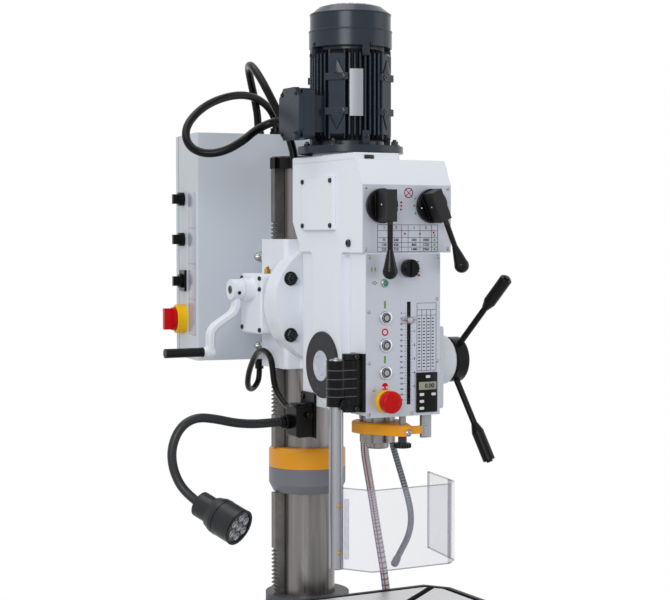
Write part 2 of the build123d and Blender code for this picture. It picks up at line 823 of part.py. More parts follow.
# Gear head housing: round rear flange, lower body round the quill, wider gear box with a bevelled front
with BuildPart() as gear_head_housing:
    lower_side = [
        (panel_y, head_low), (head_rear - belly_length, head_low), (head_rear, head_low + belly_rise),
        (head_rear, head_seam + box_step), (panel_y, head_seam + box_step),
    ]
    extrude(outline(Plane.YZ.offset(head_left), lower_side), amount=head_right - head_left)
    rear_edges = gear_head_housing.edges().filter_by(Axis.Z).group_by(Axis.Y)[-1]
    fillet(rear_edges, radius=head_rear_round)
    upper_side = [
        (panel_y, head_seam), (head_rear - box_step, head_seam),
        (head_rear - box_step, head_seam + box_slope_low), (box_rear, head_seam + box_slope_high),
        (box_rear, box_high), (bevel_back, box_high), (panel_y, bevel_low),
    ]
    extrude(outline(Plane.YZ.offset(box_left), upper_side), amount=box_right - box_left)
    band_side = [
        (band_y[0], head_low), (band_toe, head_low), (band_y[1], head_low + band_rise),
        (band_y[1], head_seam), (band_y[0], head_seam),
    ]
    extrude(outline(Plane.YZ.offset(box_left), band_side), amount=head_left - box_left)
    for y in band_y:
        corner = ((box_left + head_left) / 2, y, head_seam)
        cove_edge = gear_head_housing.edges().filter_by(Axis.X).sort_by_distance(corner)[0]
        fillet(cove_edge, radius=band_cove)
    spring_room_x = (box_left, head_left)
    spring_room_r = spring_cover_r - spring_cover_wall
    bar_x(spring_room_x, feed_y, feed_z, spring_cover_r)
    bar_x(spring_room_x, feed_y, feed_z, spring_room_r, mode=Mode.SUBTRACT)
    bar_y(0, (flange_front, flange_seam), flange_z, flange_r)
    bar_y(0, (head_rear - 1, flange_front), flange_z, neck_r)
    groove_centre = panel_y + groove_back
    groove_y = (groove_centre - groove_half, groove_centre + groove_half)
    groove_high = head_seam - groove_margin
    for wall_x in (head_left, head_right):
        groove_x = (wall_x - groove_depth, wall_x + groove_depth)
        block(groove_x, groove_y, (head_low - 1, groove_high), mode=Mode.SUBTRACT)
        bar_x(groove_x, groove_centre, groove_high, groove_half, mode=Mode.SUBTRACT)
    cavity_x = (head_left + head_wall, head_right - head_wall)
    cavity_y = (panel_y + box_wall, head_rear - head_wall)
    block(cavity_x, cavity_y, (head_low + cavity_floor, head_seam - 1), mode=Mode.SUBTRACT)
    room_x = (box_left + box_wall, box_right - box_wall)
    room_rear = box_rear - box_rear_wall
    roof_low = box_high - box_roof
    block(room_x, (panel_y + box_front_wall, room_rear), (head_seam + box_floor, sleeve_high),
          mode=Mode.SUBTRACT)
    block(room_x, (panel_y + bevel_wall, room_rear), (sleeve_high - 1, roof_low), mode=Mode.SUBTRACT)
    block((room_x[0], cover_right - box_wall), (panel_y + bevel_wall, room_rear),
          (roof_low - 1, box_high + 1), mode=Mode.SUBTRACT)
    bar_z(0, motor_y, (roof_low - 1, box_high + 1), motor_bore_r, mode=Mode.SUBTRACT)
    bar_z(0, spindle_y, (head_low, head_seam), quill_guide_r)
    bar_x((cavity_x[0] - 1, cavity_x[1] + 1), feed_y, feed_z, journal_r + journal_wall)
    bar_z(0, spindle_y, (head_low - 1, head_seam), quill_r + slide_fit, mode=Mode.SUBTRACT)
    bar_x((cavity_x[0], cavity_x[1]), feed_y, feed_z, journal_r + turn_fit, mode=Mode.SUBTRACT)
    bar_x((head_left - 1, head_right + 1), feed_y, feed_z, feed_shaft_r + turn_fit, mode=Mode.SUBTRACT)
    bar_z(0, spindle_y, (head_seam - 2, head_seam + box_floor + 1), sleeve_r + turn_fit, mode=Mode.SUBTRACT)
    bar_z(rod_x, rod_y, (head_low - 1, rod_high + rod_headroom), rod_r + free_gap, mode=Mode.SUBTRACT)
    scale_room_x = (scale_x - scale_half_width - scale_gap, scale_x + scale_half_width + scale_gap)
    scale_room_y = (rod_y - scale_half_depth - scale_gap, rod_y + scale_half_depth + scale_gap)
    block(scale_room_x, scale_room_y, (head_low - 1, scale_high + 5 * scale_gap), mode=Mode.SUBTRACT)
    block(depth_slot_x, (panel_y - 1, rod_y), depth_slot_z, mode=Mode.SUBTRACT)
    for z in button_z + (estop_z,):
        bar_y(button_x, (panel_y - 1, panel_y + switch_pocket), z, switch_pocket_r, mode=Mode.SUBTRACT)
    for x, z in shaft_places:
        bar_y(x, (panel_y - 1, panel_y + lever_shaft + 1), z, lever_rod_r + turn_fit, mode=Mode.SUBTRACT)
    for fitting in (hose_route[0], nozzle_route[0]):
        bar_z(fitting[0], fitting[1], (fitting[2], head_low + fitting_root), hose_fitting_r)
save(gear_head_housing, "gear_head_housing")

# Covers of the gear box: the top cover under the motor, and the plate on the left wall
with BuildPart() as head_covers:
    box_mid = ((box_left + box_right) / 2, (bevel_back + box_rear) / 2)
    cover_front = bevel_back + cover_setback
    with BuildSketch(Plane.XY.offset(box_high)):
        with Locations((0, motor_y)):
            Circle(cover_round_r)
        with Locations(((box_left + cover_right) / 2, (cover_front + box_rear) / 2)):
            Rectangle(cover_right - box_left, box_rear - cover_front)
        with Locations(box_mid):
            Rectangle(box_right - box_left, box_rear - bevel_back, mode=Mode.INTERSECT)
    extrude(amount=cover_thickness)
    chamfer(head_covers.faces().sort_by(Axis.Z)[-1].edges(), length=cover_chamfer)
    bar_z(0, motor_y, (head_top, motor_low), motor_seat_r)
    bar_z(0, motor_y, (box_high, motor_low), motor_bore_r, mode=Mode.SUBTRACT)
    block((box_left - side_cover_thickness, box_left), side_cover_y, side_cover_z)
save(head_covers, "head_covers")

# Front plates: the speed plate on the upper box and the control plate below it
with BuildPart() as front_plates:
    plate_y = (panel_face, panel_y)
    block(speed_plate_x, plate_y, speed_plate_z)
    block(control_plate_x, plate_y, control_plate_z)
    for x, z in shaft_places:
        bar_y(x, plate_y, z, lever_rod_r + free_gap, mode=Mode.SUBTRACT)
    for z in button_z:
        bar_y(button_x, plate_y, z, button_r + slide_fit, mode=Mode.SUBTRACT)
    bar_y(button_x, plate_y, estop_z, estop_stem_r + slide_fit, mode=Mode.SUBTRACT)
    block(depth_slot_x, plate_y, depth_slot_z, mode=Mode.SUBTRACT)
    for z in button_z:
        bar_y(button_x, bezel_y, z, button_bezel_r)
        bar_y(button_x, bezel_y, z, button_r + slide_fit, mode=Mode.SUBTRACT)
save(front_plates, "front_plates")

# Motor: finned housing on its flange, hollow for the rotor, with a neck for the terminal box
motor_axis = Axis((0, motor_y, 0), (0, 0, 1))
with BuildPart() as motor_housing:
    bar_z(0, motor_y, (motor_low, motor_low + motor_flange_thickness), motor_flange_r)
    bar_z(0, motor_y, (motor_low, cowl_low + shield_height), motor_core_r)
    fin_inner_r = motor_core_r - fin_root
    with Locations((0, motor_y, (fin_low + fin_high) / 2)):
        with PolarLocations((fin_inner_r + fin_r) / 2, fin_count):
            Box(fin_r - fin_inner_r, fin_thickness, fin_high - fin_low)
        for angle in pad_angles:
            with PolarLocations((fin_inner_r + pad_r) / 2, 1, start_angle=angle):
                Box(pad_r - fin_inner_r, pad_width, fin_high - fin_low)
            with PolarLocations((fin_inner_r + pad_boss_r) / 2, 1, start_angle=angle):
                with Locations((0, 0, -pad_boss_spacing / 2), (0, 0, pad_boss_spacing / 2)):
                    Box(pad_boss_r - fin_inner_r, pad_boss_width, pad_boss_height)
    for end, way in ((fin_low, -1), (fin_high, 1)):
        corner_cut = outline(Plane.XZ.offset(-motor_y), [
            (pad_r - fin_chamfer - 1, end + way), (pad_r + 1, end - way * (fin_chamfer + 1)),
            (pad_r + 1, end + way),
        ])
        revolve(corner_cut, axis=motor_axis, mode=Mode.SUBTRACT)
    shield_r = cowl_band_r - cowl_wall
    bar_z(0, motor_y, (cowl_low, cowl_low + shield_height / 2), shield_r)
    with Locations((0, motor_y, cowl_low + shield_height / 2)):
        with PolarLocations((motor_core_r + shield_r) / 2, fin_count // 4):
            Cylinder((shield_r - motor_core_r) / 2 - 1, 2 * shield_height, mode=Mode.SUBTRACT)
    block((terminal_x[1], -motor_bore_r / 2),
          (terminal_y[0] + terminal_inset, terminal_y[1] - terminal_inset),
          (terminal_z[0] + terminal_inset, terminal_z[1] - terminal_inset))
    bar_z(0, motor_y, (fin_low + bearing_wall, cowl_low + shield_height - bearing_wall), motor_bore_r,
          mode=Mode.SUBTRACT)
    bar_z(0, motor_y, (motor_low - 1, cowl_low + shield_height + 1), rotor_shaft_r + turn_fit,
          mode=Mode.SUBTRACT)
save(motor_housing, "motor_housing")


def cowl_profile(inset):
    """The cowl's half section, taken in by a wall: lower band, upper wall and a low dome."""
    shoulder = cowl_low + cowl_wall_height
    top = shoulder + cowl_dome_height - inset
    return outline(Plane.XZ.offset(-motor_y), [
        (0, cowl_low), (cowl_band_r - inset, cowl_low),
        (cowl_band_r - inset, cowl_low + cowl_band_height - inset),
        (cowl_r - inset, cowl_low + cowl_band_height), (cowl_r - inset, shoulder - inset / 2),
        (cowl_brow_r - inset / 2, shoulder + cowl_brow_height - inset), (cowl_top_r, top), (0, top),
    ])


# Fan cowl: a thin pressed cup with a stepped band and a ring of slots in its dome
with BuildPart() as fan_cowl:
    revolve(cowl_profile(0), axis=motor_axis)
    revolve(cowl_profile(cowl_wall), axis=motor_axis, mode=Mode.SUBTRACT)
    with Locations((0, motor_y, cowl_low + cowl_wall_height + cowl_dome_height)):
        with PolarLocations((grille_outer_r + grille_inner_r) / 2, grille_slots):
            Box(grille_outer_r - grille_inner_r, grille_slot, cowl_dome_height, mode=Mode.SUBTRACT)
save(fan_cowl, "fan_cowl")

# Terminal box: a closed shell on the motor's neck, with a raised octagonal lid
with BuildPart() as terminal_box:
    block((terminal_x[0] + terminal_lid, terminal_x[1]), terminal_y, terminal_z)
    fillet(terminal_box.edges().filter_by(Axis.X), radius=terminal_corner)
    lid_y = (terminal_y[0] + terminal_y[1]) / 2
    lid_z = (terminal_z[0] + terminal_z[1]) / 2
    with BuildSketch(Plane.YZ.offset(terminal_x[0])):
        with Locations((lid_y, lid_z)):
            lid_width = terminal_y[1] - terminal_y[0] + 2 * lid_overhang
            lid_face = Rectangle(lid_width, terminal_z[1] - terminal_z[0] + 2 * lid_overhang)
        chamfer(lid_face.vertices(), length=lid_corner)
    extrude(amount=terminal_lid)
    room_y = (terminal_y[0] + terminal_wall, terminal_y[1] - terminal_wall)
    room_z = (terminal_z[0] + terminal_wall, terminal_z[1] - terminal_wall)
    block((terminal_x[0] + terminal_lid, terminal_x[1] - terminal_wall), room_y, room_z,
          mode=Mode.SUBTRACT)
    conduit_hole_y = (terminal_y[1] - terminal_wall - 1, terminal_y[1] + 1)
    bar_y(motor_route[-1][0], conduit_hole_y, motor_route[-1][2], conduit_r, mode=Mode.SUBTRACT)
save(terminal_box, "terminal_box")

# Rotor: shaft, core, cooling fan and the pinion that drives the spindle gear
with BuildPart() as motor_rotor:
    rotor_low = fin_low + rotor_rise
    bar_z(0, motor_y, (gear_low - rotor_shaft_end, fan_low + fan_height), rotor_shaft_r)
    bar_z(0, motor_y, (rotor_low, rotor_low + rotor_length), rotor_r)
    motor_face = gear_outline(Plane.XY, gear_module, motor_teeth, gear_addendum, gear_dedendum, -pi / 2)
    extrude(motor_face.moved(Location((0, motor_y, gear_low))), amount=gear_width)
    bar_z(0, motor_y, (fan_low, fan_low + fan_plate), fan_r)
    with Locations((0, motor_y, fan_low + fan_height / 2)):
        with PolarLocations((fan_r + rotor_shaft_r) / 2, fan_blades):
            Box(fan_r - rotor_shaft_r - fan_plate, fan_blade, fan_height)
save(motor_rotor, "motor_rotor")

with BuildPart() as drive_gear:
    drive_face = gear_outline(Plane.XY, gear_module, drive_teeth, gear_addendum, gear_dedendum,
                              pi / 2 + pi / drive_teeth)
    extrude(drive_face.moved(Location((0, spindle_y, gear_low))), amount=gear_width)
    bar_z(0, spindle_y, (sleeve_low, sleeve_high), sleeve_r)
    bar_z(0, spindle_y, (sleeve_low, sleeve_high), spline_r + turn_fit, mode=Mode.SUBTRACT)
save(drive_gear, "drive_gear")

# Quill: a tube with a bearing at each end and a rack cut into its back
with BuildPart() as quill:
    bar_z(0, spindle_y, (quill_low, quill_high), quill_r)
    bar_z(0, spindle_y, (quill_low, quill_high), quill_bore_r, mode=Mode.SUBTRACT)
    bar_z(0, spindle_y, (quill_low, quill_low + bearing_height), bearing_r, mode=Mode.SUBTRACT)
    bar_z(0, spindle_y, (quill_high - bearing_height, quill_high), bearing_r, mode=Mode.SUBTRACT)
    rack_tip_y = feed_y - feed_pitch_r + feed_addendum
    flat_y = (rack_tip_y, spindle_y + quill_r + 1)
    block((-quill_r, quill_r), flat_y, (quill_low, quill_high), mode=Mode.SUBTRACT)
    tip_half = feed_pitch / 4 + feed_addendum * tan(pressure_angle) + backlash / 4
    root_half = feed_pitch / 4 - feed_dedendum * tan(pressure_angle) + backlash / 4
    root_y = feed_y - feed_pitch_r - feed_dedendum
    for space in range(-2, round(quill_travel / feed_pitch) + 3):
        z = feed_z + space * feed_pitch
        groove = [
            (rack_tip_y, z - tip_half), (root_y, z - root_half),
            (root_y, z + root_half), (rack_tip_y, z + tip_half),
        ]
        extrude(outline(Plane.YZ, groove), amount=quill_r, both=True, mode=Mode.SUBTRACT)
save(quill, "quill")

with BuildPart() as quill_bearings:
    for low in (quill_low, quill_high - bearing_height):
        bar_z(0, spindle_y, (low, low + bearing_height), bearing_r)
    bar_z(0, spindle_y, (quill_low, quill_high), spindle_r + turn_fit, mode=Mode.SUBTRACT)
save(quill_bearings, "quill_bearings")

# Spindle: nose with a Morse taper socket, body in the bearings, splined end in the drive gear's sleeve
with BuildPart() as spindle:
    bar_z(0, spindle_y, (spindle_low, quill_low - free_gap), nose_r)
    chamfer(spindle.faces().sort_by(Axis.Z)[0].edges(), length=nose_chamfer)
    bar_z(0, spindle_y, (quill_low - 1, spline_low), spindle_r)
    bar_z(0, spindle_y, (spline_low, spindle_high), spline_r)
    with Locations((0, spindle_y, spindle_low)):
        Cone(taper_mouth_r, taper_end_r, taper_depth, align=upright, mode=Mode.SUBTRACT)
save(spindle, "spindle")

# Depth clamp: the yellow arm from the quill to the stop rod and the scale bar
with BuildPart() as depth_clamp:
    with BuildSketch(Plane.XY.offset(clamp_low)):
        with Locations((0, spindle_y)):
            Circle(clamp_ring_r)
        with Locations((rod_x, rod_y)):
            Circle(clamp_end_r)
        make_hull()
    extrude(amount=clamp_high - clamp_low)
    chamfer(depth_clamp.faces().sort_by(Axis.Z)[-1].edges(), length=clamp_chamfer)
    arm_y = (rod_y - scale_half_depth, rod_y + scale_half_depth)
    arm_z = (clamp_low + clamp_arm_low, clamp_high - clamp_arm_high)
    block((rod_x, scale_x - scale_half_width), arm_y, arm_z)
    bar_z(0, spindle_y, (clamp_low, clamp_high), quill_r, mode=Mode.SUBTRACT)
    bar_z(rod_x, rod_y, (clamp_low, clamp_high), rod_r, mode=Mode.SUBTRACT)
save(depth_clamp, "depth_clamp")

# Depth stop rod with its knob, and the flat scale bar beside it
with BuildPart() as depth_rod:
    bar_z(rod_x, rod_y, (stop_knob_low, stop_knob_low + stop_knob_height), stop_knob_r)
    chamfer(depth_rod.edges(), length=1)
    bar_z(rod_x, rod_y, (stop_knob_low, clamp_low), stop_sleeve_r)
    bar_z(rod_x, rod_y, (clamp_low - 1, rod_high), rod_r)
    block((scale_x - scale_half_width, scale_x + scale_half_width), arm_y, (scale_low, scale_high))
save(depth_rod, "depth_rod")

# Feed shaft: journals in the head, the pinion on the quill's rack, ends in the spring cover and the hub
with BuildPart() as feed_shaft:
    hub_left = feed_dome_face + free_gap
    hub_right = hub_left + feed_hub_length
    bar_x((box_left - spring_cover_thickness, hub_right), feed_y, feed_z, feed_shaft_r)
    feed_face = gear_outline(Plane.YZ, feed_module, feed_teeth, feed_addendum, feed_dedendum, pi)
    extrude(feed_face.moved(Location((0, feed_y, feed_z))), amount=feed_pinion_half, both=True)
    journal_inner = sqrt(quill_r**2 - (feed_y - journal_r - spindle_y) ** 2) + 2
    bar_x((journal_inner, cavity_x[1] - free_gap), feed_y, feed_z, journal_r)
    bar_x((cavity_x[0] + free_gap, -journal_inner), feed_y, feed_z, journal_r)
    bar_x((-journal_inner, journal_inner), feed_y, feed_z, feed_pitch_r - feed_dedendum - 1)
save(feed_shaft, "feed_shaft")

# Feed housing on the right wall: a square cup with a round dome that carries the shaft's end
with BuildPart() as feed_housing:
    block((head_right, feed_plate_face), (feed_y - feed_plate_half, feed_y + feed_plate_half),
          (feed_z - feed_plate_low, feed_z + feed_plate_high))
    fillet(feed_housing.edges().filter_by(Axis.X), radius=feed_plate_corner)
    bar_x((head_right, feed_dome_face), feed_y, feed_z, feed_dome_r)
    chamfer(feed_housing.edges().filter_by(GeomType.CIRCLE).group_by(Axis.X)[-1], length=feed_dome_chamfer)
    bar_x((head_right, feed_plate_face - feed_wall), feed_y, feed_z, feed_plate_high - feed_wall,
          mode=Mode.SUBTRACT)
    bar_x((head_right, feed_plate_face), feed_y, feed_z, feed_shaft_r + feed_boss_wall)
    bar_x((head_right, feed_dome_face), feed_y, feed_z, feed_shaft_r + turn_fit, mode=Mode.SUBTRACT)
save(feed_housing, "feed_housing")

spoke_planes = []
for angle in spoke_angles:
    reach = cos(radians(spoke_tilt))
    direction = (sin(radians(spoke_tilt)), -cos(radians(angle)) * reach, sin(radians(angle)) * reach)
    centre = (hub_left + spoke_offset, feed_y, feed_z)
    spoke_planes.append(Plane(origin=centre, z_dir=direction))

with BuildPart() as feed_hub:
    bar_x((hub_left, hub_right), feed_y, feed_z, feed_hub_r)
    chamfer(feed_hub.edges().filter_by(GeomType.CIRCLE), length=hub_chamfer)
    bar_x((hub_left, hub_right), feed_y, feed_z, feed_shaft_r, mode=Mode.SUBTRACT)
    with Locations(*spoke_planes):
        with Locations((0, 0, spoke_root)):
            Cylinder(spoke_r, spoke_length, align=upright, mode=Mode.SUBTRACT)
save(feed_hub, "feed_hub")

with BuildPart() as feed_levers:
    with Locations(*spoke_planes):
        with Locations((0, 0, spoke_root)):
            Cylinder(spoke_r, spoke_length, align=upright)
        with Locations((0, 0, spoke_root + spoke_length)):
            Cone(spoke_r, spoke_grip_r, spoke_taper, align=upright)
        with Locations((0, 0, spoke_root + spoke_length + spoke_taper)):
            Cylinder(spoke_grip_r, spoke_grip_length, align=upright)
        grip_end = spoke_root + spoke_length + spoke_taper + spoke_grip_length
        with Locations((0, 0, grip_end)):
            Cone(spoke_grip_r, spoke_grip_r - spoke_grip_chamfer, spoke_grip_chamfer, align=upright)
            Cylinder(spoke_button_r, spoke_button, align=upright)
save(feed_levers, "feed_levers")

# Spring cover on the left wall, and in the room behind it the spiral spring that lifts the quill
with BuildPart() as spring_cover:
    cover_x = (box_left - spring_cover_thickness, box_left)
    bar_x(cover_x, feed_y, feed_z, spring_cover_r)
    cover_rim = spring_cover.edges().filter_by(GeomType.CIRCLE).group_by(Axis.X)[0]
    chamfer(cover_rim, length=spring_cover_chamfer)
    bar_x(cover_x, feed_y, feed_z, feed_shaft_r + turn_fit, mode=Mode.SUBTRACT)
save(spring_cover, "spring_cover")

with BuildPart() as return_spring:
    spring_steps = 24 * spring_turns
    inner_side = []
    outer_side = []
    for step in range(spring_steps + 1):
        angle = 2 * pi * spring_turns * step / spring_steps
        r = spring_inner_r + (spring_room_r - spring_inner_r) * step / spring_steps
        outer_side.append((r * cos(angle), r * sin(angle)))
        inner_side.append(((r - spring_strip) * cos(angle), (r - spring_strip) * sin(angle)))
    spring_face = outline(Plane.YZ, outer_side + inner_side[::-1])
    spring_width = head_left - box_left - 2 * spring_side_gap
    spring_place = Location((box_left + spring_side_gap, feed_y, feed_z))
    extrude(spring_face.moved(spring_place), amount=spring_width)
save(return_spring, "return_spring")


def speed_lever(x, z, swing):
    """A gear lever on the panel: a disc, a raised hub bar, a rod and a grip that swells to a round end."""
    disc_face = panel_face - speed_disc_height
    rod_axis = panel_face - lever_stand
    with Locations(Location((x, rod_axis, z), (0, -swing, 0))):
        hub_depth = lever_stand + lever_hub_cover
        with Locations((0, hub_depth / 2 - lever_hub_cover, 0)):
            hub = Box(lever_hub_width, hub_depth, lever_hub_height)
    fillet(hub.faces().sort_by(Axis.Y)[0].edges(), radius=lever_hub_round)
    bar_y(x, (disc_face, panel_face), z, speed_disc_r - speed_disc_bevel)
    bar_y(x, (disc_face + speed_disc_bevel, panel_face), z, speed_disc_r)
    bar_y(x, (panel_face, panel_y + lever_shaft), z, lever_rod_r)
    with Locations(Location((x, rod_axis, z), (0, -swing, 0))):
        with Locations((0, 0, -lever_rod_length)):
            Cylinder(lever_rod_r, lever_rod_length, align=upright)
        grip_end = lever_rod_length + lever_grip_length - lever_grip_r
        with Locations((0, 0, -grip_end)):
            Cone(lever_grip_r, lever_rod_r, lever_grip_length - lever_grip_r, align=upright)
            Sphere(lever_grip_r)


with BuildPart() as speed_lever_left:
    speed_lever(speed_lever_x[0], speed_lever_z[0], speed_lever_swing[0])
save(speed_lever_left, "speed_lever_left")

with BuildPart() as speed_lever_right:
    speed_lever(speed_lever_x[1], speed_lever_z[1], speed_lever_swing[1])
save(speed_lever_right, "speed_lever_right")

with BuildPart() as mode_dial:
    bar_y(mode_dial_x, (panel_face - mode_dial_height, panel_face), mode_dial_z, mode_dial_r)
    chamfer(mode_dial.edges().group_by(Axis.Y)[0], length=mode_dial_bevel)
    bar_edges = (mode_dial_x - mode_dial_bar / 2, mode_dial_x + mode_dial_bar / 2)
    bar_reach = mode_dial_r - mode_dial_bevel
    block(bar_edges, (panel_face - mode_dial_height - mode_dial_bevel, panel_face - mode_dial_bevel),
          (mode_dial_z - bar_reach, mode_dial_z + bar_reach))
    bar_y(mode_dial_x, (panel_face, panel_y + lever_shaft), mode_dial_z, lever_rod_r)
save(mode_dial, "mode_dial")


def push_button(z):
    """A round push button in its bezel, with its stem behind the panel."""
    bar_y(button_x, (panel_face - button_stand, panel_y), z, button_r)
    bar_y(button_x, (panel_y, panel_y + button_stem), z, button_stem_r)


with BuildPart() as start_button_upper:
    push_button(button_z[0])
save(start_button_upper, "start_button_upper")

with BuildPart() as stop_button:
    push_button(button_z[1])
save(stop_button, "stop_button")

with BuildPart() as start_button_lower:
    push_button(button_z[2])
save(start_button_lower, "start_button_lower")

with BuildPart() as estop_button:
    head_back = panel_face - estop_stand + estop_head_height
    bar_y(button_x, (panel_face - estop_stand, head_back), estop_z, estop_r)
    fillet(estop_button.edges().group_by(Axis.Y)[0], radius=estop_round)
    bar_y(button_x, (head_back, panel_y + button_stem), estop_z, estop_stem_r)
save(estop_button, "estop_button")

# Electrical cabinet: a tray open at the back, closed by a hinged door, with switches on its left side
hinge_z = (cabinet_low + hinge_low_inset, cabinet_high - hinge_high_inset)
knuckle_a = cabinet_width + knuckle_r + free_gap

with BuildPart(cabinet_plane) as cabinet_body:
    cabinet_z = (cabinet_low, cabinet_high)
    block((0, cabinet_width), (0, cabinet_depth), cabinet_z)
    fillet(cabinet_body.edges().filter_by(Axis.Z).sort_by(Axis.Y)[:2], radius=cabinet_corner_r)
    block((cabinet_wall, cabinet_width - cabinet_wall), (cabinet_wall, cabinet_depth),
          (cabinet_low + cabinet_wall, cabinet_high - cabinet_wall), mode=Mode.SUBTRACT)
    for z in selector_z + (main_switch_z,):
        bar_x((-1, cabinet_wall + 1), switch_depth, z, switch_stem_r + turn_fit, mode=Mode.SUBTRACT)
    for low in hinge_z:
        bar_z(knuckle_a, cabinet_depth, (low, low + knuckle_length), knuckle_r)
        leaf_d = (cabinet_depth - knuckle_r, cabinet_depth - knuckle_edge)
        block((cabinet_width, knuckle_a), leaf_d, (low, low + knuckle_length))
save(cabinet_body, "cabinet_body")

with BuildPart(cabinet_plane) as cabinet_door:
    block((0, cabinet_width), (cabinet_depth, cabinet_depth + door_depth), cabinet_z)
    door_room_d = (cabinet_depth, cabinet_depth + door_depth - cabinet_wall)
    block((cabinet_wall, cabinet_width - cabinet_wall), door_room_d,
          (cabinet_low + cabinet_wall, cabinet_high - cabinet_wall), mode=Mode.SUBTRACT)
    for low in hinge_z:
        door_knuckle_z = (low + knuckle_length + free_gap, low + 2 * knuckle_length)
        bar_z(knuckle_a, cabinet_depth, door_knuckle_z, knuckle_r)
        door_leaf_d = (cabinet_depth + knuckle_edge, cabinet_depth + knuckle_r)
        block((cabinet_width, knuckle_a), door_leaf_d, door_knuckle_z)
save(cabinet_door, "cabinet_door")


def selector(z):
    """A rotary selector on the cabinet's side: round base, finger grip and a stem through the wall."""
    bar_x((-selector_length / 2, -free_gap), switch_depth, z, selector_r)
    grip_half = selector_r - 2 * grip_inset
    grip_depth = (switch_depth - selector_grip / 2, switch_depth + selector_grip / 2)
    block((-selector_length, -selector_length / 2), grip_depth, (z - grip_half, z + grip_half))
    bar_x((-1, switch_stem), switch_depth, z, switch_stem_r)


with BuildPart(cabinet_plane) as selector_upper:
    selector(selector_z[0])
save(selector_upper, "selector_upper")

with BuildPart(cabinet_plane) as selector_middle:
    selector(selector_z[1])
save(selector_middle, "selector_middle")

with BuildPart(cabinet_plane) as selector_lower:
    selector(selector_z[2])
save(selector_lower, "selector_lower")

with BuildPart(cabinet_plane) as main_switch:
    main_face = -main_plate_gap - main_disc
    bar_x((main_face, -main_plate_gap), switch_depth, main_switch_z, main_switch_r)
    main_half = main_switch_r - grip_inset
    block((-main_switch_length, main_face), (switch_depth - main_grip / 2, switch_depth + main_grip / 2),
          (main_switch_z - main_half, main_switch_z + main_half))
    bar_x((-main_plate_gap - 1, switch_stem), switch_depth, main_switch_z, switch_stem_r)
save(main_switch, "main_switch")

# Guard: hinge plate on the head's left wall, swinging block, sliding rail and a bent clear shield
with BuildPart() as guard_hinge:
    plate_x = (head_left - hinge_plate_thickness, head_left)
    block(plate_x, hinge_plate_y, hinge_plate_z)
    low_ear_z = (hinge_plate_z[0], hinge_plate_z[0] + hinge_ear)
    high_ear_z = (hinge_plate_z[1] - hinge_ear, hinge_plate_z[1])
    for ear_z in (low_ear_z, high_ear_z):
        block((hinge_x, plate_x[1]), (hinge_y - hinge_ear_r, hinge_y + hinge_ear_r), ear_z)
        bar_z(hinge_x, hinge_y, ear_z, hinge_ear_r)
    bar_z(hinge_x, hinge_y, hinge_plate_z, hinge_pin_r)
save(guard_hinge, "guard_hinge")

with BuildPart() as guard_block:
    block_z = (hinge_plate_z[0] + hinge_ear + free_gap, hinge_plate_z[1] - hinge_ear - free_gap)
    bar_z(hinge_x, hinge_y, block_z, block_round)
    block((rail_x, hinge_x + block_lap), (hinge_y - block_half, hinge_y + block_half), block_z)
    bar_z(rail_x, hinge_y, block_z, block_r)
    bar_z(hinge_x, hinge_y, block_z, hinge_pin_r + turn_fit, mode=Mode.SUBTRACT)
    bar_z(rail_x, hinge_y, block_z, rail_r + slide_fit, mode=Mode.SUBTRACT)
save(guard_block, "guard_block")


def shield_outline():
    """The shield's outline from above: its bent centre line given a thickness."""
    left_side = []
    right_side = []
    for index, here in enumerate(shield_points):
        before = shield_points[max(index - 1, 0)]
        after = shield_points[min(index + 1, len(shield_points) - 1)]
        into = (Vector(here) - Vector(before)).normalized() if index > 0 else None
        out = (Vector(after) - Vector(here)).normalized() if index < len(shield_points) - 1 else into
        into = into or out
        normal = Vector(-(into.Y + out.Y), into.X + out.X).normalized()
        half = shield_thickness / 2 / normal.dot(Vector(-out.Y, out.X))
        left_side.append(Vector(here) + normal * half)
        right_side.append(Vector(here) - normal * half)
    return outline(Plane.XY.offset(shield_low), left_side + right_side[::-1])


with BuildPart() as guard_shield:
    extrude(shield_outline(), amount=shield_high - shield_low)
    for corner in shield_points[1:-1]:
        upright_edges = guard_shield.edges().filter_by(Axis.Z)
        bend = upright_edges.sort_by_distance((*corner, (shield_low + shield_high) / 2))[:2]
        fillet(bend, radius=shield_bend_r)
save(guard_shield, "guard_shield")

with BuildPart() as guard_rail:
    bar_z(rail_x, hinge_y, (rail_low, rail_high), rail_r)
    chamfer(guard_rail.edges().filter_by(GeomType.CIRCLE), length=rail_chamfer)
    with Locations((rail_x, hinge_y, (rail_low + rail_high) / 2)):
        with PolarLocations(rail_r, rail_flutes, start_angle=30):
            Box(2 * rail_flute_depth, rail_flute_width, rail_high - rail_low, mode=Mode.SUBTRACT)
    extrude(shield_outline(), amount=shield_high - shield_low, mode=Mode.SUBTRACT)
save(guard_rail, "guard_rail")

# Work lamp: mount with a swivel body, gooseneck and a stepped round head
with BuildPart() as lamp_mount:
    lamp_body_y = (lamp_plate_y[0] + lamp_body_inset, lamp_plate_y[1] - lamp_body_inset)
    block((lamp_body_x[0], head_left), lamp_body_y, lamp_body_z)
    fillet(lamp_mount.faces().sort_by(Axis.X)[0].edges(), radius=lamp_body_round)
    block((head_left - lamp_plate_thickness, head_left), lamp_plate_y, lamp_plate_z)
save(lamp_mount, "lamp_mount")

cord(lamp_arm_points, lamp_arm_r, "lamp_arm")

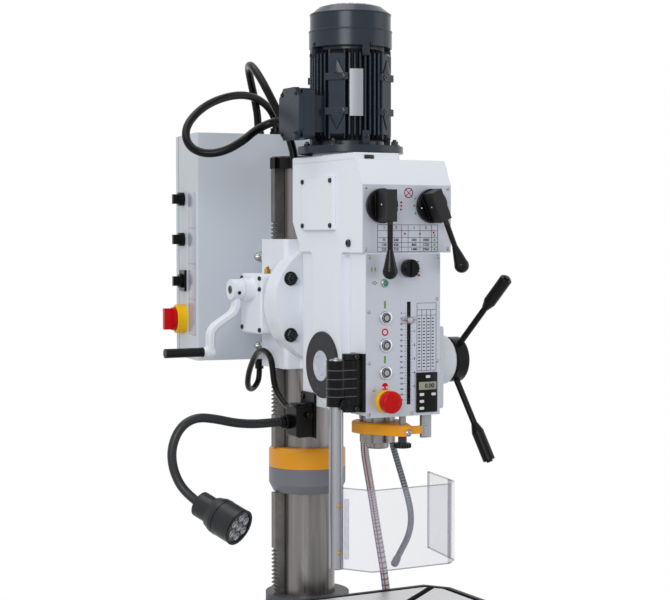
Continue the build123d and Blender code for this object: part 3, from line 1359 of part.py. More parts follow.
lamp_end = Vector(lamp_arm_points[-1])
lamp_direction = lamp_end - Vector(lamp_arm_points[-2])
with BuildPart(Plane(origin=lamp_end, z_dir=lamp_direction)) as lamp_head:
    step_end = lamp_rear_length + lamp_step_length
    bar_z(0, 0, (0, lamp_rear_length), lamp_rear_r)
    with Locations((0, 0, lamp_rear_length)):
        Cone(lamp_step_r, lamp_head_r, lamp_step_length, align=upright)
    bar_z(0, 0, (step_end, lamp_head_length), lamp_head_r)
    lens_z = (lamp_head_length - lamp_recess, lamp_head_length)
    bar_z(0, 0, lens_z, lamp_head_r - lamp_rim, mode=Mode.SUBTRACT)
save(lamp_head, "lamp_head")

cord(lamp_cable_route, lamp_cable_r, "lamp_cable")
cord(control_route, conduit_r, "control_conduit")
cord(motor_route, conduit_r, "motor_conduit")
cord(nozzle_route, nozzle_r, "coolant_nozzle")
cord(hose_route, hose_r, "coolant_hose")

# Glands where the conduits and the lamp cable enter the cabinet, the head and the terminal box
with BuildPart() as conduit_glands:
    for start in (control_route[0], motor_route[0]):
        bar_z(start[0], start[1], (cabinet_high, start[2]), gland_r)
    bar_y(control_route[-1][0], (box_rear, control_route[-1][1]), control_route[-1][2], gland_r)
    bar_y(motor_route[-1][0], (terminal_y[1], motor_route[-1][1]), motor_route[-1][2], gland_r)
    cable_end = lamp_cable_route[-1]
    bar_z(cable_end[0], cable_end[1], (cable_end[2], cabinet_low), cable_gland_r)
save(conduit_glands, "conduit_glands")

# Table: rack that swings with it, clamped arm with the lifting drive, slotted top and crank
with BuildPart() as table_rack:
    table_teeth_low = table_rack_low + table_rack_plain_end
    extrude(rack_outline(table_rack_low, collar_low - free_gap, table_teeth_low, table_rack_teeth_high,
                         table_crank_z), amount=rack_half_width, both=True)
save(table_rack, "table_rack")

with BuildPart() as table_arm:
    bar_z(0, 0, (arm_low, arm_high), arm_sleeve_r)
    block((-arm_half_width, arm_half_width), (arm_front, 0), (arm_beam_low, table_low))
    block((table_drive_face, 0), table_drive_y, table_drive_z)
    bar_x((table_boss_face, table_drive_face + 1), table_crank_y, table_crank_z, crank_boss_r)
    fillet(table_arm.edges().filter_by(Axis.Z).sort_by(Axis.Y)[:2], radius=arm_corner)
    bar_z(0, 0, (arm_low, arm_high), column_r + slide_fit, mode=Mode.SUBTRACT)
    block((rack_tip_x - free_gap, 0), (-rack_slot, rack_slot), (arm_low, arm_high), mode=Mode.SUBTRACT)
    drive_room_y = (table_drive_y[0] + gear_cover_wall, table_drive_y[1] - gear_cover_wall)
    drive_room_z = (table_drive_z[0] + gear_cover_wall, table_drive_z[1] - gear_cover_wall)
    block((table_drive_face + gear_cover_wall, -arm_sleeve_r + worm_gap), drive_room_y, drive_room_z,
          mode=Mode.SUBTRACT)
    bar_x((table_boss_face, table_drive_face + gear_cover_wall), table_crank_y, table_crank_z,
          crank_shaft_r + turn_fit, mode=Mode.SUBTRACT)
save(table_arm, "table_arm")

with BuildPart() as table_top:
    table_y = (table_front + table_rear) / 2
    table_depth = table_rear - table_front
    corner_x = table_half_width - table_corner[0]
    corner_y = table_depth / 2 - table_corner[1]
    rim_points = [
        (corner_x, table_depth / 2), (-corner_x, table_depth / 2), (-table_half_width, corner_y),
        (-table_half_width, -corner_y), (-corner_x, -table_depth / 2), (corner_x, -table_depth / 2),
        (table_half_width, -corner_y), (table_half_width, corner_y),
    ]
    extrude(outline(Plane((0, table_y, table_low)), rim_points), amount=table_high - table_low)
    trough_plane = Plane((0, table_y, table_high - table_trough_depth))
    rim_face = outline(trough_plane, rim_points)
    trough_outer = offset(rim_face, amount=-table_rim, kind=Kind.INTERSECTION, mode=Mode.PRIVATE)
    trough_inner = offset(trough_outer, amount=-table_trough, kind=Kind.INTERSECTION, mode=Mode.PRIVATE)
    extrude(trough_outer - trough_inner, amount=table_trough_depth, mode=Mode.SUBTRACT)
    for angle in (table_slot_angle, -table_slot_angle):
        tee_slot((0, table_y, table_high), angle, table_slot_length)
save(table_top, "table_top")

with BuildPart() as table_crank:
    table_shaft_end = -arm_sleeve_r - worm_gap
    table_worm_x = (table_drive_face + gear_cover_wall + worm_gap, table_shaft_end)
    crank(table_boss_face, table_crank_y, table_crank_z, table_shaft_end, table_worm_x)
save(table_crank, "table_crank")
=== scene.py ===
"""Pillar drill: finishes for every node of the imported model, its cords, fasteners, marks and studio."""

import math

import bpy
from mathutils import Matrix, Vector


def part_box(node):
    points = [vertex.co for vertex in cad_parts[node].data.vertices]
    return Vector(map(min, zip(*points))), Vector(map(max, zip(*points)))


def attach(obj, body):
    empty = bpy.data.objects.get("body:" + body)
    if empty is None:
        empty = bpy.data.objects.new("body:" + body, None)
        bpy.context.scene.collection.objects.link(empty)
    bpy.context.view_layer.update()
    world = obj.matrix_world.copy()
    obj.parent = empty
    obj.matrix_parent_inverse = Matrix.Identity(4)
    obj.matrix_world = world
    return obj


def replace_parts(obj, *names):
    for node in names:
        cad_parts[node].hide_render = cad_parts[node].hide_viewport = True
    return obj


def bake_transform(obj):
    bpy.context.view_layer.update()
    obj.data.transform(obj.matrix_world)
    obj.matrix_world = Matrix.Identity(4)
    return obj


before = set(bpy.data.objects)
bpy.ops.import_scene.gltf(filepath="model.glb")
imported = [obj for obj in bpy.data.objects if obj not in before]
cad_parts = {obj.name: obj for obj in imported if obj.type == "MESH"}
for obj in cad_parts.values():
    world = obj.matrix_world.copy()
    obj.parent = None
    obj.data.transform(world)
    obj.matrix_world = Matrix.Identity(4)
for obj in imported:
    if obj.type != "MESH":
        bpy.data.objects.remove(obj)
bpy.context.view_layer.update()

bl_info = {
    "name": "Pillar Drill",
    "version": (1, 0, 0),
    "blender": (4, 5, 0),
    "location": "View3D > Sidebar > Drill",
    "description": "Dresses a pillar drill with finishes, cords, fasteners and a studio",
    "category": "Object",
}

MM = 0.001
FULL_TURN = 2 * math.pi
ORIGIN = (0, 0, 0)
UP = (0, 0, 1)
DOWN = (0, 0, -1)
FORWARD = (0, -1, 0)
BACK = (0, 1, 0)
LEFT = (-1, 0, 0)
RIGHT = (1, 0, 0)
PLATE_FACE = -382
DISC_FACE = -391
HALF_LINE = 0.35
HALF_TICK = 0.3
FIGURE_SHARE = 0.7


def srgb(red, green, blue):
    """A colour as it reads on a screen, 0 to 255, as the linear colour that a shader takes."""
    shares = [part / 255 for part in (red, green, blue)]
    return tuple(s / 12.92 if s <= 0.04045 else ((s + 0.055) / 1.055) ** 2.4 for s in shares)


def tone(name, description, *colour):
    """A colour property, its default as it reads on a screen."""
    return bpy.props.FloatVectorProperty(
        name=name, description=description, subtype="COLOR", size=3, min=0, max=1, default=srgb(*colour))


def length(name, description, default):
    """A length property, its default in millimetres."""
    return bpy.props.FloatProperty(
        name=name, description=description, unit="LENGTH", min=0, default=default * MM)


def power(name, description, default):
    """A lamp's power property, its default in watts."""
    return bpy.props.FloatProperty(name=name, description=description, unit="POWER", default=default)


class DrillColours(bpy.types.PropertyGroup):
    """Colours of the drill's finishes."""

    head: tone("Head", "Cool white enamel of the head and its carrier", 234, 239, 247)
    cabinet: tone("Cabinet", "Pale powder coat of the electrical cabinet", 205, 212, 222)
    motor: tone("Motor", "Blue charcoal enamel of the motor", 35, 44, 56)
    yellow: tone("Yellow", "Orange yellow of the rack ring and the depth clamp", 238, 160, 8)
    collar: tone("Collar", "Mid grey of the lower rack collar", 112, 115, 122)
    base: tone("Base", "Dark grey of the base, foot and table arm", 74, 78, 84)
    plate: tone("Plates", "Silver of the two front plates", 190, 195, 207)
    steel: tone("Steel", "Ground steel of the column and spindle", 130, 127, 126)
    screw: tone("Screws", "Dull steel of small screws and nuts", 162, 160, 158)
    rack: tone("Rack", "Oiled steel of the racks", 122, 119, 116)
    rail: tone("Rail", "Anodised aluminium of the guard rail", 152, 154, 160)
    iron: tone("Table", "Planed iron of the table's top", 222, 222, 225)
    black: tone("Black", "Moulded black of knobs and grips", 9, 9, 10)
    bolt: tone("Bolts", "Oiled black of bolts and screws", 15, 15, 17)
    cover: tone("Spring cover", "Dark grey of the spring cover", 50, 50, 54)
    lever: tone("Levers", "Grained grey of the speed levers' bosses", 40, 40, 42)
    hub: tone("Feed hub", "Blackened steel of the feed hub and levers", 14, 14, 16)
    conduit: tone("Conduits", "Black of the conduits and the lamp's cable", 10, 10, 11)
    lamp: tone("Lamp", "Charcoal of the lamp and its arm", 31, 33, 37)
    nozzle: tone("Nozzle", "Grey of the coolant nozzle", 112, 116, 124)
    red: tone("Red", "Red of the stop controls", 198, 14, 20)
    pilot: tone("Pilot lamp", "Blue green of the pilot lamp", 16, 150, 118)
    signal: tone("Signal yellow", "Yellow behind the stop controls", 240, 186, 20)
    green: tone("Green", "Green of the start marks", 104, 150, 50)
    white: tone("White", "White of pointer dots, keys and caps", 222, 223, 227)
    brass: tone("Brass", "Brass of the nipple, pointer and guard screws", 190, 150, 72)
    ink: tone("Ink", "Printing on the plates", 20, 20, 24)
    display: tone("Display", "Grey green of the depth display", 150, 156, 138)
    film: tone("Film", "Lavender grey of the cabinet's legend film", 178, 180, 193)
    clear: tone("Clear", "Tint of the clear guard and small clear parts", 196, 198, 216)
    tracer_blue: tone("Blue tracer", "Blue line along the coolant hose", 44, 92, 178)
    tracer_red: tone("Red tracer", "Red line along the coolant hose", 190, 52, 56)


class DrillSizes(bpy.types.PropertyGroup):
    """Sizes of the fasteners, marks and trim that the finished drill carries."""

    mark_depth: length("Mark depth", "How far a printed mark stands off its plate", 0.2)
    plate_screw: length("Plate screw", "Head radius of the screws in the plates and covers", 3.4)
    cover_screw: length("Cover screw", "Head radius of the screws in the cast covers", 4.6)
    flange_bolt: length("Flange bolt", "Half the width across corners of the head flange's bolts", 11.5)
    foot_bolt: length("Foot bolt", "Half the width across corners of the column foot's bolts", 16)


class DrillStudio(bpy.types.PropertyGroup):
    """Camera and light."""

    lens: bpy.props.FloatProperty(
        name="Lens", description="Focal length of the camera", unit="CAMERA", default=85.143)
    floor: tone("Floor", "Pale floor", 244, 244, 245)
    key: power("Key lamp", "Power of the large lamp at the front left", 74)
    fill: power("Fill lamp", "Power of the large lamp at the right", 15)
    top: power("Top lamp", "Power of the lamp overhead", 30)
    sky: bpy.props.FloatProperty(
        name="Sky", description="Level of the even light from all round", subtype="FACTOR", default=0.42)


def colours():
    """The drill's colour properties."""
    return bpy.context.scene.drill_colours


def sizes():
    """The drill's size properties."""
    return bpy.context.scene.drill_sizes


class Value:
    """An output socket that takes part in sums; each sum adds its Math node to the same tree."""

    def __init__(self, finish, socket):
        self.finish = finish
        self.socket = socket

    def work(self, operation, *terms):
        return self.finish.node("ShaderNodeMath", {"operation": operation}, dict(enumerate(terms)))

    def __add__(self, other):
        return self.work("ADD", self, other)

    def __sub__(self, other):
        return self.work("SUBTRACT", self, other)

    def __rsub__(self, other):
        return self.work("SUBTRACT", other, self)

    def __mul__(self, other):
        return self.work("MULTIPLY", self, other)

    def __truediv__(self, other):
        return self.work("DIVIDE", self, other)

    def __gt__(self, other):
        return self.work("GREATER_THAN", self, other)

    def __lt__(self, other):
        return self.work("LESS_THAN", self, other)

    def __abs__(self):
        return self.work("ABSOLUTE", self)

    __radd__ = __add__

    def wave(self):
        return self.work("SINE", self)

    def root(self):
        return self.work("SQRT", self)

    def fraction(self):
        return self.work("FRACT", self)

    def between(self, low, high):
        """One where a value lies between two others, else nothing."""
        return (self > low) * (self < high)


class Tree:
    """A node tree being put together."""

    def __init__(self, tree):
        self.tree = tree

    def feed(self, socket, value):
        if isinstance(value, Value):
            self.tree.links.new(value.socket, socket)
        elif socket.type == "RGBA":
            socket.default_value = (*value[:3], 1)
        else:
            socket.default_value = value

    def node(self, kind, settings, sockets, output=0):
        """Adds a node: its settings first, then its sockets, and hands back one of its outputs."""
        made = self.tree.nodes.new(kind)
        for key, setting in settings.items():
            setattr(made, key, setting)
        for key, value in sockets.items():
            self.feed(made.inputs[key], value)
        return Value(self, made.outputs[output])

    def ray(self, kind):
        """One for rays of a kind, such as those that leave the camera."""
        return self.node("ShaderNodeLightPath", {}, {}, kind)

    def mixed(self, share, first, second):
        """A shader between two shaders."""
        return self.node("ShaderNodeMixShader", {}, {"Fac": share, 1: first, 2: second})


class Finish(Tree):
    """A material being put together from nodes round one Principled shader."""

    def __init__(self, name):
        self.material = bpy.data.materials.new(name)
        self.material.use_nodes = True
        super().__init__(self.material.node_tree)
        self.shader = self.tree.nodes["Principled BSDF"]

    def surface(self, **sockets):
        """Feeds the shader; a socket's spaces are written as underscores."""
        for key, value in sockets.items():
            self.feed(self.shader.inputs[key.replace("_", " ")], value)
        return self.material

    def place(self):
        return self.node("ShaderNodeTexCoord", {}, {}, "Object")

    def axes(self, vector=None):
        """The three parts of a vector, by default of the place on the piece in metres."""
        parted = self.node("ShaderNodeSeparateXYZ", {}, {"Vector": vector or self.place()})
        outputs = parted.socket.node.outputs
        return [Value(self, output) for output in outputs]

    def around(self):
        """Shares of the way along and round a tube, from its own UV map."""
        return self.axes(self.node("ShaderNodeUVMap", {}, {}))[:2]

    def noise(self, scale, detail=2, stretch=(1, 1, 1)):
        spread = tuple(scale * part for part in stretch)
        vector = self.node("ShaderNodeMapping", {}, {"Vector": self.place(), "Scale": spread})
        return self.node("ShaderNodeTexNoise", {}, {"Vector": vector, "Scale": 1, "Detail": detail})

    def mix(self, share, first, second):
        """A colour between two colours."""
        return self.node("ShaderNodeMix", {"data_type": "RGBA"}, {0: share, 6: first, 7: second}, 2)

    def tint(self, share, colour, low, high):
        """A colour between two shades of one colour."""
        return self.mix(share, shaded(colour, low), shaded(colour, high))

    def gloss(self, level):
        self.feed(self.shader.inputs["Specular IOR Level"], level)

    def metal(self, share):
        self.feed(self.shader.inputs["Metallic"], share)

    def rounded(self, radius):
        """Normals that run round an edge as a worked or painted edge does."""
        return self.node("ShaderNodeBevel", {"samples": 4}, {"Radius": radius})

    def bump(self, height, depth, strength=1, normal=None):
        sockets = {"Height": height, "Distance": depth, "Strength": strength}
        if normal:
            sockets["Normal"] = normal
        return self.node("ShaderNodeBump", {}, sockets)


def shaded(colour, share):
    """A colour made lighter or darker."""
    return tuple(min(1, part * share) for part in colour)


def kept(maker):
    """Makes a finish the first time that it is asked for, and afterwards hands back its material."""
    name = maker.__name__.replace("_", " ").capitalize()

    def fetch():
        return bpy.data.materials.get(name) or maker(Finish(name))
    return fetch


def plain(name, maker, colour, *settings, shade=1, **more):
    """A finish with nothing of its own: a maker, a shade of a named colour and the maker's settings."""
    def fetch():
        made = bpy.data.materials.get(name)
        return made or maker(Finish(name), shaded(getattr(colours(), colour), shade), *settings, **more)
    return fetch


def sprayed(finish, colour, rough, edge=1.6 * MM, peel=0.05 * MM):
    """Sprayed enamel: faint clouding, orange peel, and paint drawn thin and round over the edges."""
    cloud = finish.noise(4, 3)
    skin = finish.noise(520, 2)
    return finish.surface(
        Base_Color=finish.tint(cloud, colour, 0.955, 1.03),
        Roughness=skin * 0.10 + (rough - 0.05),
        Normal=finish.bump(skin, peel, 0.35, finish.rounded(edge)))


def brushed(finish, colour, stretch, rough, contrast=0.16, metallic=1):
    """Metal with fine lines worked in along one direction."""
    lines = finish.noise(1, 4, stretch)
    cloud = finish.noise(9, 2)
    finish.metal(metallic)
    return finish.surface(
        Base_Color=finish.tint(lines * 0.7 + cloud * 0.3, colour, 1 - contrast, 1 + contrast),
        Roughness=lines * 0.22 + (rough - 0.11),
        Normal=finish.bump(lines, 0.03 * MM, 0.4, finish.rounded(0.6 * MM)))


def moulded(finish, colour, rough, grain=900, depth=0.06 * MM, edge=0.9 * MM, gloss=0.14):
    """Moulded plastic: a fine grain and slightly uneven gloss."""
    finish.gloss(gloss)
    skin = finish.noise(grain, 2)
    cloud = finish.noise(22, 2)
    return finish.surface(
        Base_Color=finish.tint(cloud, colour, 0.82, 1.2),
        Roughness=cloud * 0.14 + (rough - 0.07),
        Normal=finish.bump(skin, depth, 0.5, finish.rounded(edge)))


head_enamel = plain("Head enamel", sprayed, "head", 0.36, 2.4 * MM)
cabinet_coat = plain("Cabinet coat", sprayed, "cabinet", 0.42, 1.5 * MM, 0.09 * MM)
yellow_enamel = plain("Yellow enamel", sprayed, "yellow", 0.4, 1.5 * MM)
collar_enamel = plain("Collar enamel", sprayed, "collar", 0.45, 1.8 * MM)
base_enamel = plain("Base enamel", sprayed, "base", 0.5, 2.5 * MM, 0.16 * MM)
plate_silver = plain("Plate silver", brushed, "plate", (9, 9, 1500), 0.42, 0.06, 0.35)
turned_steel = plain("Turned steel", brushed, "steel", (14, 14, 1600), 0.26, 0.14)
rail_aluminium = plain("Rail aluminium", brushed, "rail", (700, 700, 6), 0.34, 0.08, 0.85)
lamp_charcoal = plain("Lamp charcoal", moulded, "lamp", 0.34, 700, gloss=0.3)
black_plastic = plain("Black plastic", moulded, "black", 0.24)
cover_grey = plain("Cover grey", moulded, "cover", 0.5, 500)
pilot_glass = plain("Pilot glass", moulded, "pilot", 0.16, 300, 0.01 * MM, 0.4 * MM, 0.4)
screw_steel = plain("Screw steel", brushed, "screw", (900, 30, 30), 0.3, 0.3)
red_plastic = plain("Red plastic", moulded, "red", 0.3, 500, 0.02 * MM)
signal_plastic = plain("Signal plastic", moulded, "signal", 0.34, 500, 0.02 * MM)
button_steel = plain("Button steel", brushed, "rail", (900, 30, 30), 0.24, 0.08)
plate_ink = plain("Plate ink", moulded, "ink", 0.6, 400, 0.01 * MM, 0.05 * MM)
green_print = plain("Green print", moulded, "green", 0.45, 400, 0.01 * MM, 0.1 * MM)
white_print = plain("White print", moulded, "white", 0.45, 400, 0.01 * MM, 0.2 * MM)
bolt_black = plain("Bolt black", brushed, "bolt", (140, 140, 140), 0.26, 0.3, 0.1)
brass = plain("Brass", brushed, "brass", (60, 60, 900), 0.3, 0.12)
display_grey = plain("Display grey", moulded, "display", 0.25, 300, 0.01 * MM, 0.2 * MM)
blank_plate = plain("Blank plate", brushed, "rail", (500, 500, 14), 0.4, 0.1, 0.5)
bezel_chrome = plain("Bezel chrome", brushed, "white", (900, 30, 30), 0.2, 0.08, shade=0.85)
nozzle_plastic_end = plain("Nozzle plastic end", moulded, "nozzle", 0.32, shade=0.8)
lens_silver = plain("Lens silver", brushed, "rail", (90, 90, 90), 0.26, 0.1, 0.75, shade=0.9)
lens_face = plain("Lens face", brushed, "rail", (60, 60, 60), 0.3, 0.4, 0.6, shade=0.5)


@kept
def motor_enamel(finish):
    """Blue charcoal enamel, with painted shade deep between the fins, where it is also duller."""
    x, y, height = finish.axes()
    behind = y + 180 * MM
    fin_root = 74 * MM
    deep = (x * x + behind * behind).root() < fin_root
    # Painted shade: within 74 mm of the motor's axis, from 1797 to 1968 mm up, the enamel goes near black and
    # duller in the fin roots.
    painted_fin_shade = deep * height.between(1797 * MM, 1968 * MM)
    cloud = finish.noise(30, 3)
    colour = colours().motor
    finish.gloss(0.27)
    return finish.surface(
        Base_Color=finish.mix(painted_fin_shade, finish.tint(cloud, colour, 0.85, 1.2), shaded(colour, 0.12)),
        Roughness=cloud * 0.1 + (painted_fin_shade * 0.4 + 0.19),
        Normal=finish.bump(cloud, 0.1 * MM, 0.3, finish.rounded(1.8 * MM)))


@kept
def ground_steel(finish):
    """Steel ground along its length, in light and dark streaks that are grinding marks and also painted
    reflection bands.
    """
    streaks_and_painted_reflection = finish.noise(1, 5, (210, 210, 3))
    fine = finish.noise(1, 3, (1300, 1300, 14))
    finish.metal(1)
    return finish.surface(
        # The wide light and dark streaks are partly grinding marks and partly painted reflection bands.
        Base_Color=finish.tint(streaks_and_painted_reflection * 0.75 + fine * 0.25, colours().steel, 0.45, 1.4),
        Roughness=streaks_and_painted_reflection * 0.3 + 0.16,
        Normal=finish.bump(fine, 0.02 * MM, 0.4, finish.rounded(0.8 * MM)))


@kept
def rack_steel(finish):
    """Milled teeth under a film of oil, mottled dark and light."""
    film = finish.noise(60, 3)
    finish.metal(0.9)
    return finish.surface(
        Base_Color=finish.tint(film, colours().rack, 0.5, 1.3),
        Roughness=film * 0.3 + 0.25,
        Normal=finish.bump(film, 0.08 * MM, 0.3))


@kept
def table_iron(finish):
    """Planed top with fine tool lines; the trough, slots and rim are dark and oiled."""
    x, y, height = finish.axes()
    across = abs(x)
    along = abs(y + 305 * MM)
    half_width = 224 * MM
    half_depth = 179 * MM
    corner = 15305 * MM
    inside = (across < half_width) * (along < half_depth) * (across * 46 + along * 34 < corner)
    top_level = 914.7 * MM
    lines = finish.noise(1, 4, (1100, 8, 8))
    cloud = finish.noise(14, 3)
    top = (height > top_level) * inside
    planed = finish.tint(lines * 0.6 + cloud * 0.4, colours().iron, 0.86, 1.08)
    dark = finish.mix(cloud, shaded(colours().black, 0.8), shaded(colours().base, 0.5))
    return finish.surface(
        Base_Color=finish.mix(top, dark, planed),
        Metallic=top * 0.55,
        Roughness=lines * 0.18 + (0.46 - top * 0.14),
        Normal=finish.bump(lines, 0.03 * MM, 0.3, finish.rounded(0.8 * MM)))


@kept
def hub_steel(finish):
    """Blackened steel with a soft sheen."""
    skin = finish.noise(160, 3)
    finish.gloss(0.22)
    return finish.surface(
        Base_Color=finish.tint(skin, colours().hub, 0.75, 1.3),
        Metallic=skin * 0.3 + 0.1,
        Roughness=skin * 0.16 + 0.22,
        Normal=finish.bump(skin, 0.03 * MM, 0.4, finish.rounded(1.2 * MM)))


@kept
def lever_black(finish):
    """Smooth black with a grained grey boss."""
    y, height = finish.axes()[1:]
    rod_top = 1640 * MM
    boss = (y < (DISC_FACE - 2) * MM) * (height > rod_top)
    grain = finish.noise(800, 2)
    cloud = finish.noise(22, 2)
    grey = finish.tint(grain, colours().lever, 0.7, 1.3)
    black = finish.tint(cloud, colours().black, 0.82, 1.2)
    finish.gloss(0.2)
    return finish.surface(
        Base_Color=finish.mix(boss, black, grey),
        Roughness=cloud * 0.1 + (boss * 0.25 + 0.16),
        Normal=finish.bump(grain * boss, 0.08 * MM, 0.5, finish.rounded(1.2 * MM)))


@kept
def conduit_sheath(finish):
    """Smooth black sheath with a soft gloss and a faint grain."""
    skin = finish.noise(260, 3)
    cloud = finish.noise(30, 2)
    finish.gloss(0.13)
    return finish.surface(
        Base_Color=finish.tint(cloud, colours().conduit, 0.8, 1.35),
        Roughness=cloud * 0.1 + 0.14,
        Normal=finish.bump(skin, 0.05 * MM, 0.4))


@kept
def guard_clear(finish):
    """Clear sheet: nearly nothing face on, grey and less clear at its bends and sawn edges as painted shade
    in place of refraction.
    """
    x, y, height = finish.axes()
    low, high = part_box("guard_shield")
    rim = 1.6 * MM
    sawn = 1 - height.between(low.z + rim, high.z - rim)
    bent = x.between(75.5 * MM, 78.5 * MM) + x.between(100 * MM, 103 * MM)
    # Painted shade: the bends and sawn edges are greyed and made less clear to stand in for refraction there.
    edge = sawn + bent + (y > high.y - 2 * MM)
    cloud = finish.noise(7, 2)
    colour = colours().clear
    return finish.surface(
        Base_Color=finish.mix(edge, colour, shaded(colour, 0.42)),
        Roughness=cloud * 0.05 + 0.03,
        Alpha=edge * 0.42 + (cloud * 0.05 + 0.13))


@kept
def cursor_clear(finish):
    """Clear acrylic of small parts."""
    cloud = finish.noise(60, 2)
    return finish.surface(
        Base_Color=finish.tint(cloud, colours().clear, 0.9, 1.1),
        Roughness=cloud * 0.06 + 0.05,
        Alpha=cloud * 0.1 + 0.3)


@kept
def crank_coat(finish):
    """White enamel on the arm and hub, black moulding on the grip."""
    grip_start = -224 * MM
    grip = finish.axes()[0] < grip_start
    skin = finish.noise(520, 2)
    cloud = finish.noise(6, 2)
    white = finish.tint(cloud, colours().head, 0.94, 1.02)
    black = finish.tint(cloud, colours().black, 0.8, 1.2)
    finish.gloss(0.25)
    return finish.surface(
        Base_Color=finish.mix(grip, white, black),
        Roughness=skin * 0.1 + 0.32,
        Normal=finish.bump(skin, 0.05 * MM, 0.35, finish.rounded(3 * MM)))


@kept
def rod_finish(finish):
    """The depth rod: bright above its clamp, a black sleeve and nut below, a grey scale bar beside."""
    x, height = finish.axes()[::2]
    bar_side = 40 * MM
    bar = x > bar_side
    sleeve_top = 1258 * MM
    sleeve = (height < sleeve_top) * (1 - bar)
    lines = finish.noise(1, 3, (600, 600, 30))
    steel = finish.tint(lines, colours().steel, 0.8, 1.15)
    grey = finish.tint(lines, colours().rail, 0.9, 1.3)
    metal = finish.mix(bar, steel, grey)
    return finish.surface(
        Base_Color=finish.mix(sleeve, metal, colours().lamp),
        Metallic=1 - (sleeve * 0.8 + bar * 0.4),
        Roughness=lines * 0.2 + 0.24,
        Normal=finish.bump(lines, 0.03 * MM, 0.4, finish.rounded(0.6 * MM)))


@kept
def hose_clear(finish):
    """Clear hose over a dark net, with a blue and a red tracer along it."""
    along, round_it = finish.around()
    hoops = (along * 120).fraction() < 0.26
    threads = (round_it * 8).fraction() < 0.12
    net = hoops + threads
    side = (round_it * 2).fraction()
    blue = side.between(0.76, 0.86)
    red = side.between(0.52, 0.61)
    netted = finish.mix(net * 0.8, colours().white, shaded(colours().ink, 1.5))
    traced = finish.mix(blue, netted, colours().tracer_blue)
    return finish.surface(
        Base_Color=finish.mix(red, traced, colours().tracer_red),
        Roughness=net * 0.1 + 0.14,
        Alpha=0.8 + net * 0.1,
        Normal=finish.bump(net, 0.3 * MM, 0.5))


@kept
def nozzle_plastic(finish):
    """Grey jointed nozzle: fine rings along it, with painted shade in their troughs and painted highlights on
    their crests.
    """
    ring = (finish.around()[0] * 330).wave()
    # The ring tint, 0.4 to 1.2 of the grey, is painted shade between the joints and painted highlight on
    # them.
    return finish.surface(
        Base_Color=finish.tint(ring * 0.5 + 0.5, colours().nozzle, 0.4, 1.2),
        Roughness=ring * 0.05 + 0.2,
        Metallic=0.6,
        Normal=finish.bump(ring, 0.35 * MM, 0.7))


@kept
def arm_sleeve(finish):
    """Charcoal sleeve of the lamp's arm, ribbed near the mount and smooth beyond."""
    along = finish.around()[0]
    ribbed = along < 0.24
    ring = (along * 560).wave() * ribbed
    skin = finish.noise(420, 2)
    finish.gloss(0.35)
    return finish.surface(
        Base_Color=finish.tint(skin, colours().lamp, 0.8, 1.2),
        Roughness=skin * 0.14 + 0.3,
        Normal=finish.bump(ring + skin * 0.2, 0.4 * MM, 0.6))


@kept
def legend_film(finish):
    """Bare pale film on the cabinet's side, in four panes."""
    foot = 1417 * MM
    panes_per_metre = 13.7
    pane = ((finish.axes()[2] - foot) * panes_per_metre).fraction()
    seam = 1 - pane.between(0.02, 0.98)
    cloud = finish.noise(40, 2)
    film = finish.tint(cloud, colours().film, 0.94, 1.05)
    return finish.surface(
        Base_Color=finish.mix(seam, film, shaded(colours().film, 0.7)),
        Roughness=cloud * 0.1 + 0.2,
        Normal=finish.bump(1 - seam, 0.2 * MM, 0.5))


def deselect():
    """Leaves edit mode and lets go of everything, so that the next operator acts on its own piece."""
    if bpy.context.object and bpy.context.object.mode != "OBJECT":
        bpy.ops.object.mode_set(mode="OBJECT")
    bpy.ops.object.select_all(action="DESELECT")


def take(piece):
    """Selects one piece and makes it the active one."""
    deselect()
    piece.select_set(True)
    bpy.context.view_layer.objects.active = piece
    return piece


def settle(piece, name, finish, body, angle=35):
    """Names a piece, puts its place in its mesh, smooths it, finishes it and hands it to a body."""
    take(piece)
    bpy.ops.object.transform_apply(location=True, rotation=True, scale=True)
    bpy.ops.object.shade_smooth_by_angle(angle=math.radians(angle))
    piece.name = name
    piece.data.name = name
    piece.data.materials.clear()
    piece.data.materials.append(finish)
    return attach(piece, body)


def paint_nodes(finish, *nodes):
    """Gives CAD nodes a finish."""
    for name in nodes:
        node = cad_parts[name]
        if not node.material_slots:
            node.data.materials.append(finish)
        for place in node.material_slots:
            place.material = finish


def route_curve(name, route, radius):
    """A smooth line with a route's points, in mm, as its control points, and a round section."""
    data = bpy.data.curves.new(name, "CURVE")
    data.dimensions = "3D"
    data.resolution_u = 10
    data.bevel_depth = radius * MM
    data.bevel_resolution = 6
    data.use_fill_caps = True
    spline = data.splines.new("NURBS")
    spline.points.add(len(route) - 1)
    for point, place in zip(spline.points, route):
        point.co = (*(part * MM for part in place), 1)
    spline.order_u = 3
    spline.use_endpoint_u = True
    curve = bpy.data.objects.new(name, data)
    bpy.context.collection.objects.link(curve)
    return curve


def centre_line(curve):
    """The points that a curve follows, read from it with its section taken away."""
    depth = curve.data.bevel_depth
    curve.data.bevel_depth = 0
    bpy.context.view_layer.update()
    graph = bpy.context.evaluated_depsgraph_get()
    line = bpy.data.meshes.new_from_object(curve.evaluated_get(graph))
    points = [vertex.co.copy() for vertex in line.vertices]
    bpy.data.meshes.remove(line)
    curve.data.bevel_depth = depth
    return points


def tube_from(curve):
    """Turns a curve with a section into a mesh tube that keeps the UV map along and round it."""
    take(curve)
    bpy.ops.object.convert(target="MESH")
    return bpy.context.object


def laid(name, route, radius, finish):
    """A tube laid along a route, in mm, with its finish, and the points that its middle follows."""
    curve = route_curve(name, route, radius)
    line = centre_line(curve)
    tube = tube_from(curve)
    tube.data.materials.clear()
    tube.data.materials.append(finish)
    return tube, line


def open_mesh():
    """Enters edit mode with the whole mesh selected."""
    bpy.ops.object.mode_set(mode="EDIT")
    bpy.ops.mesh.select_all(action="SELECT")


def close_mesh():
    """Turns every face outwards and leaves edit mode."""
    bpy.ops.mesh.select_all(action="SELECT")
    bpy.ops.mesh.normals_make_consistent(inside=False)
    bpy.ops.object.mode_set(mode="OBJECT")


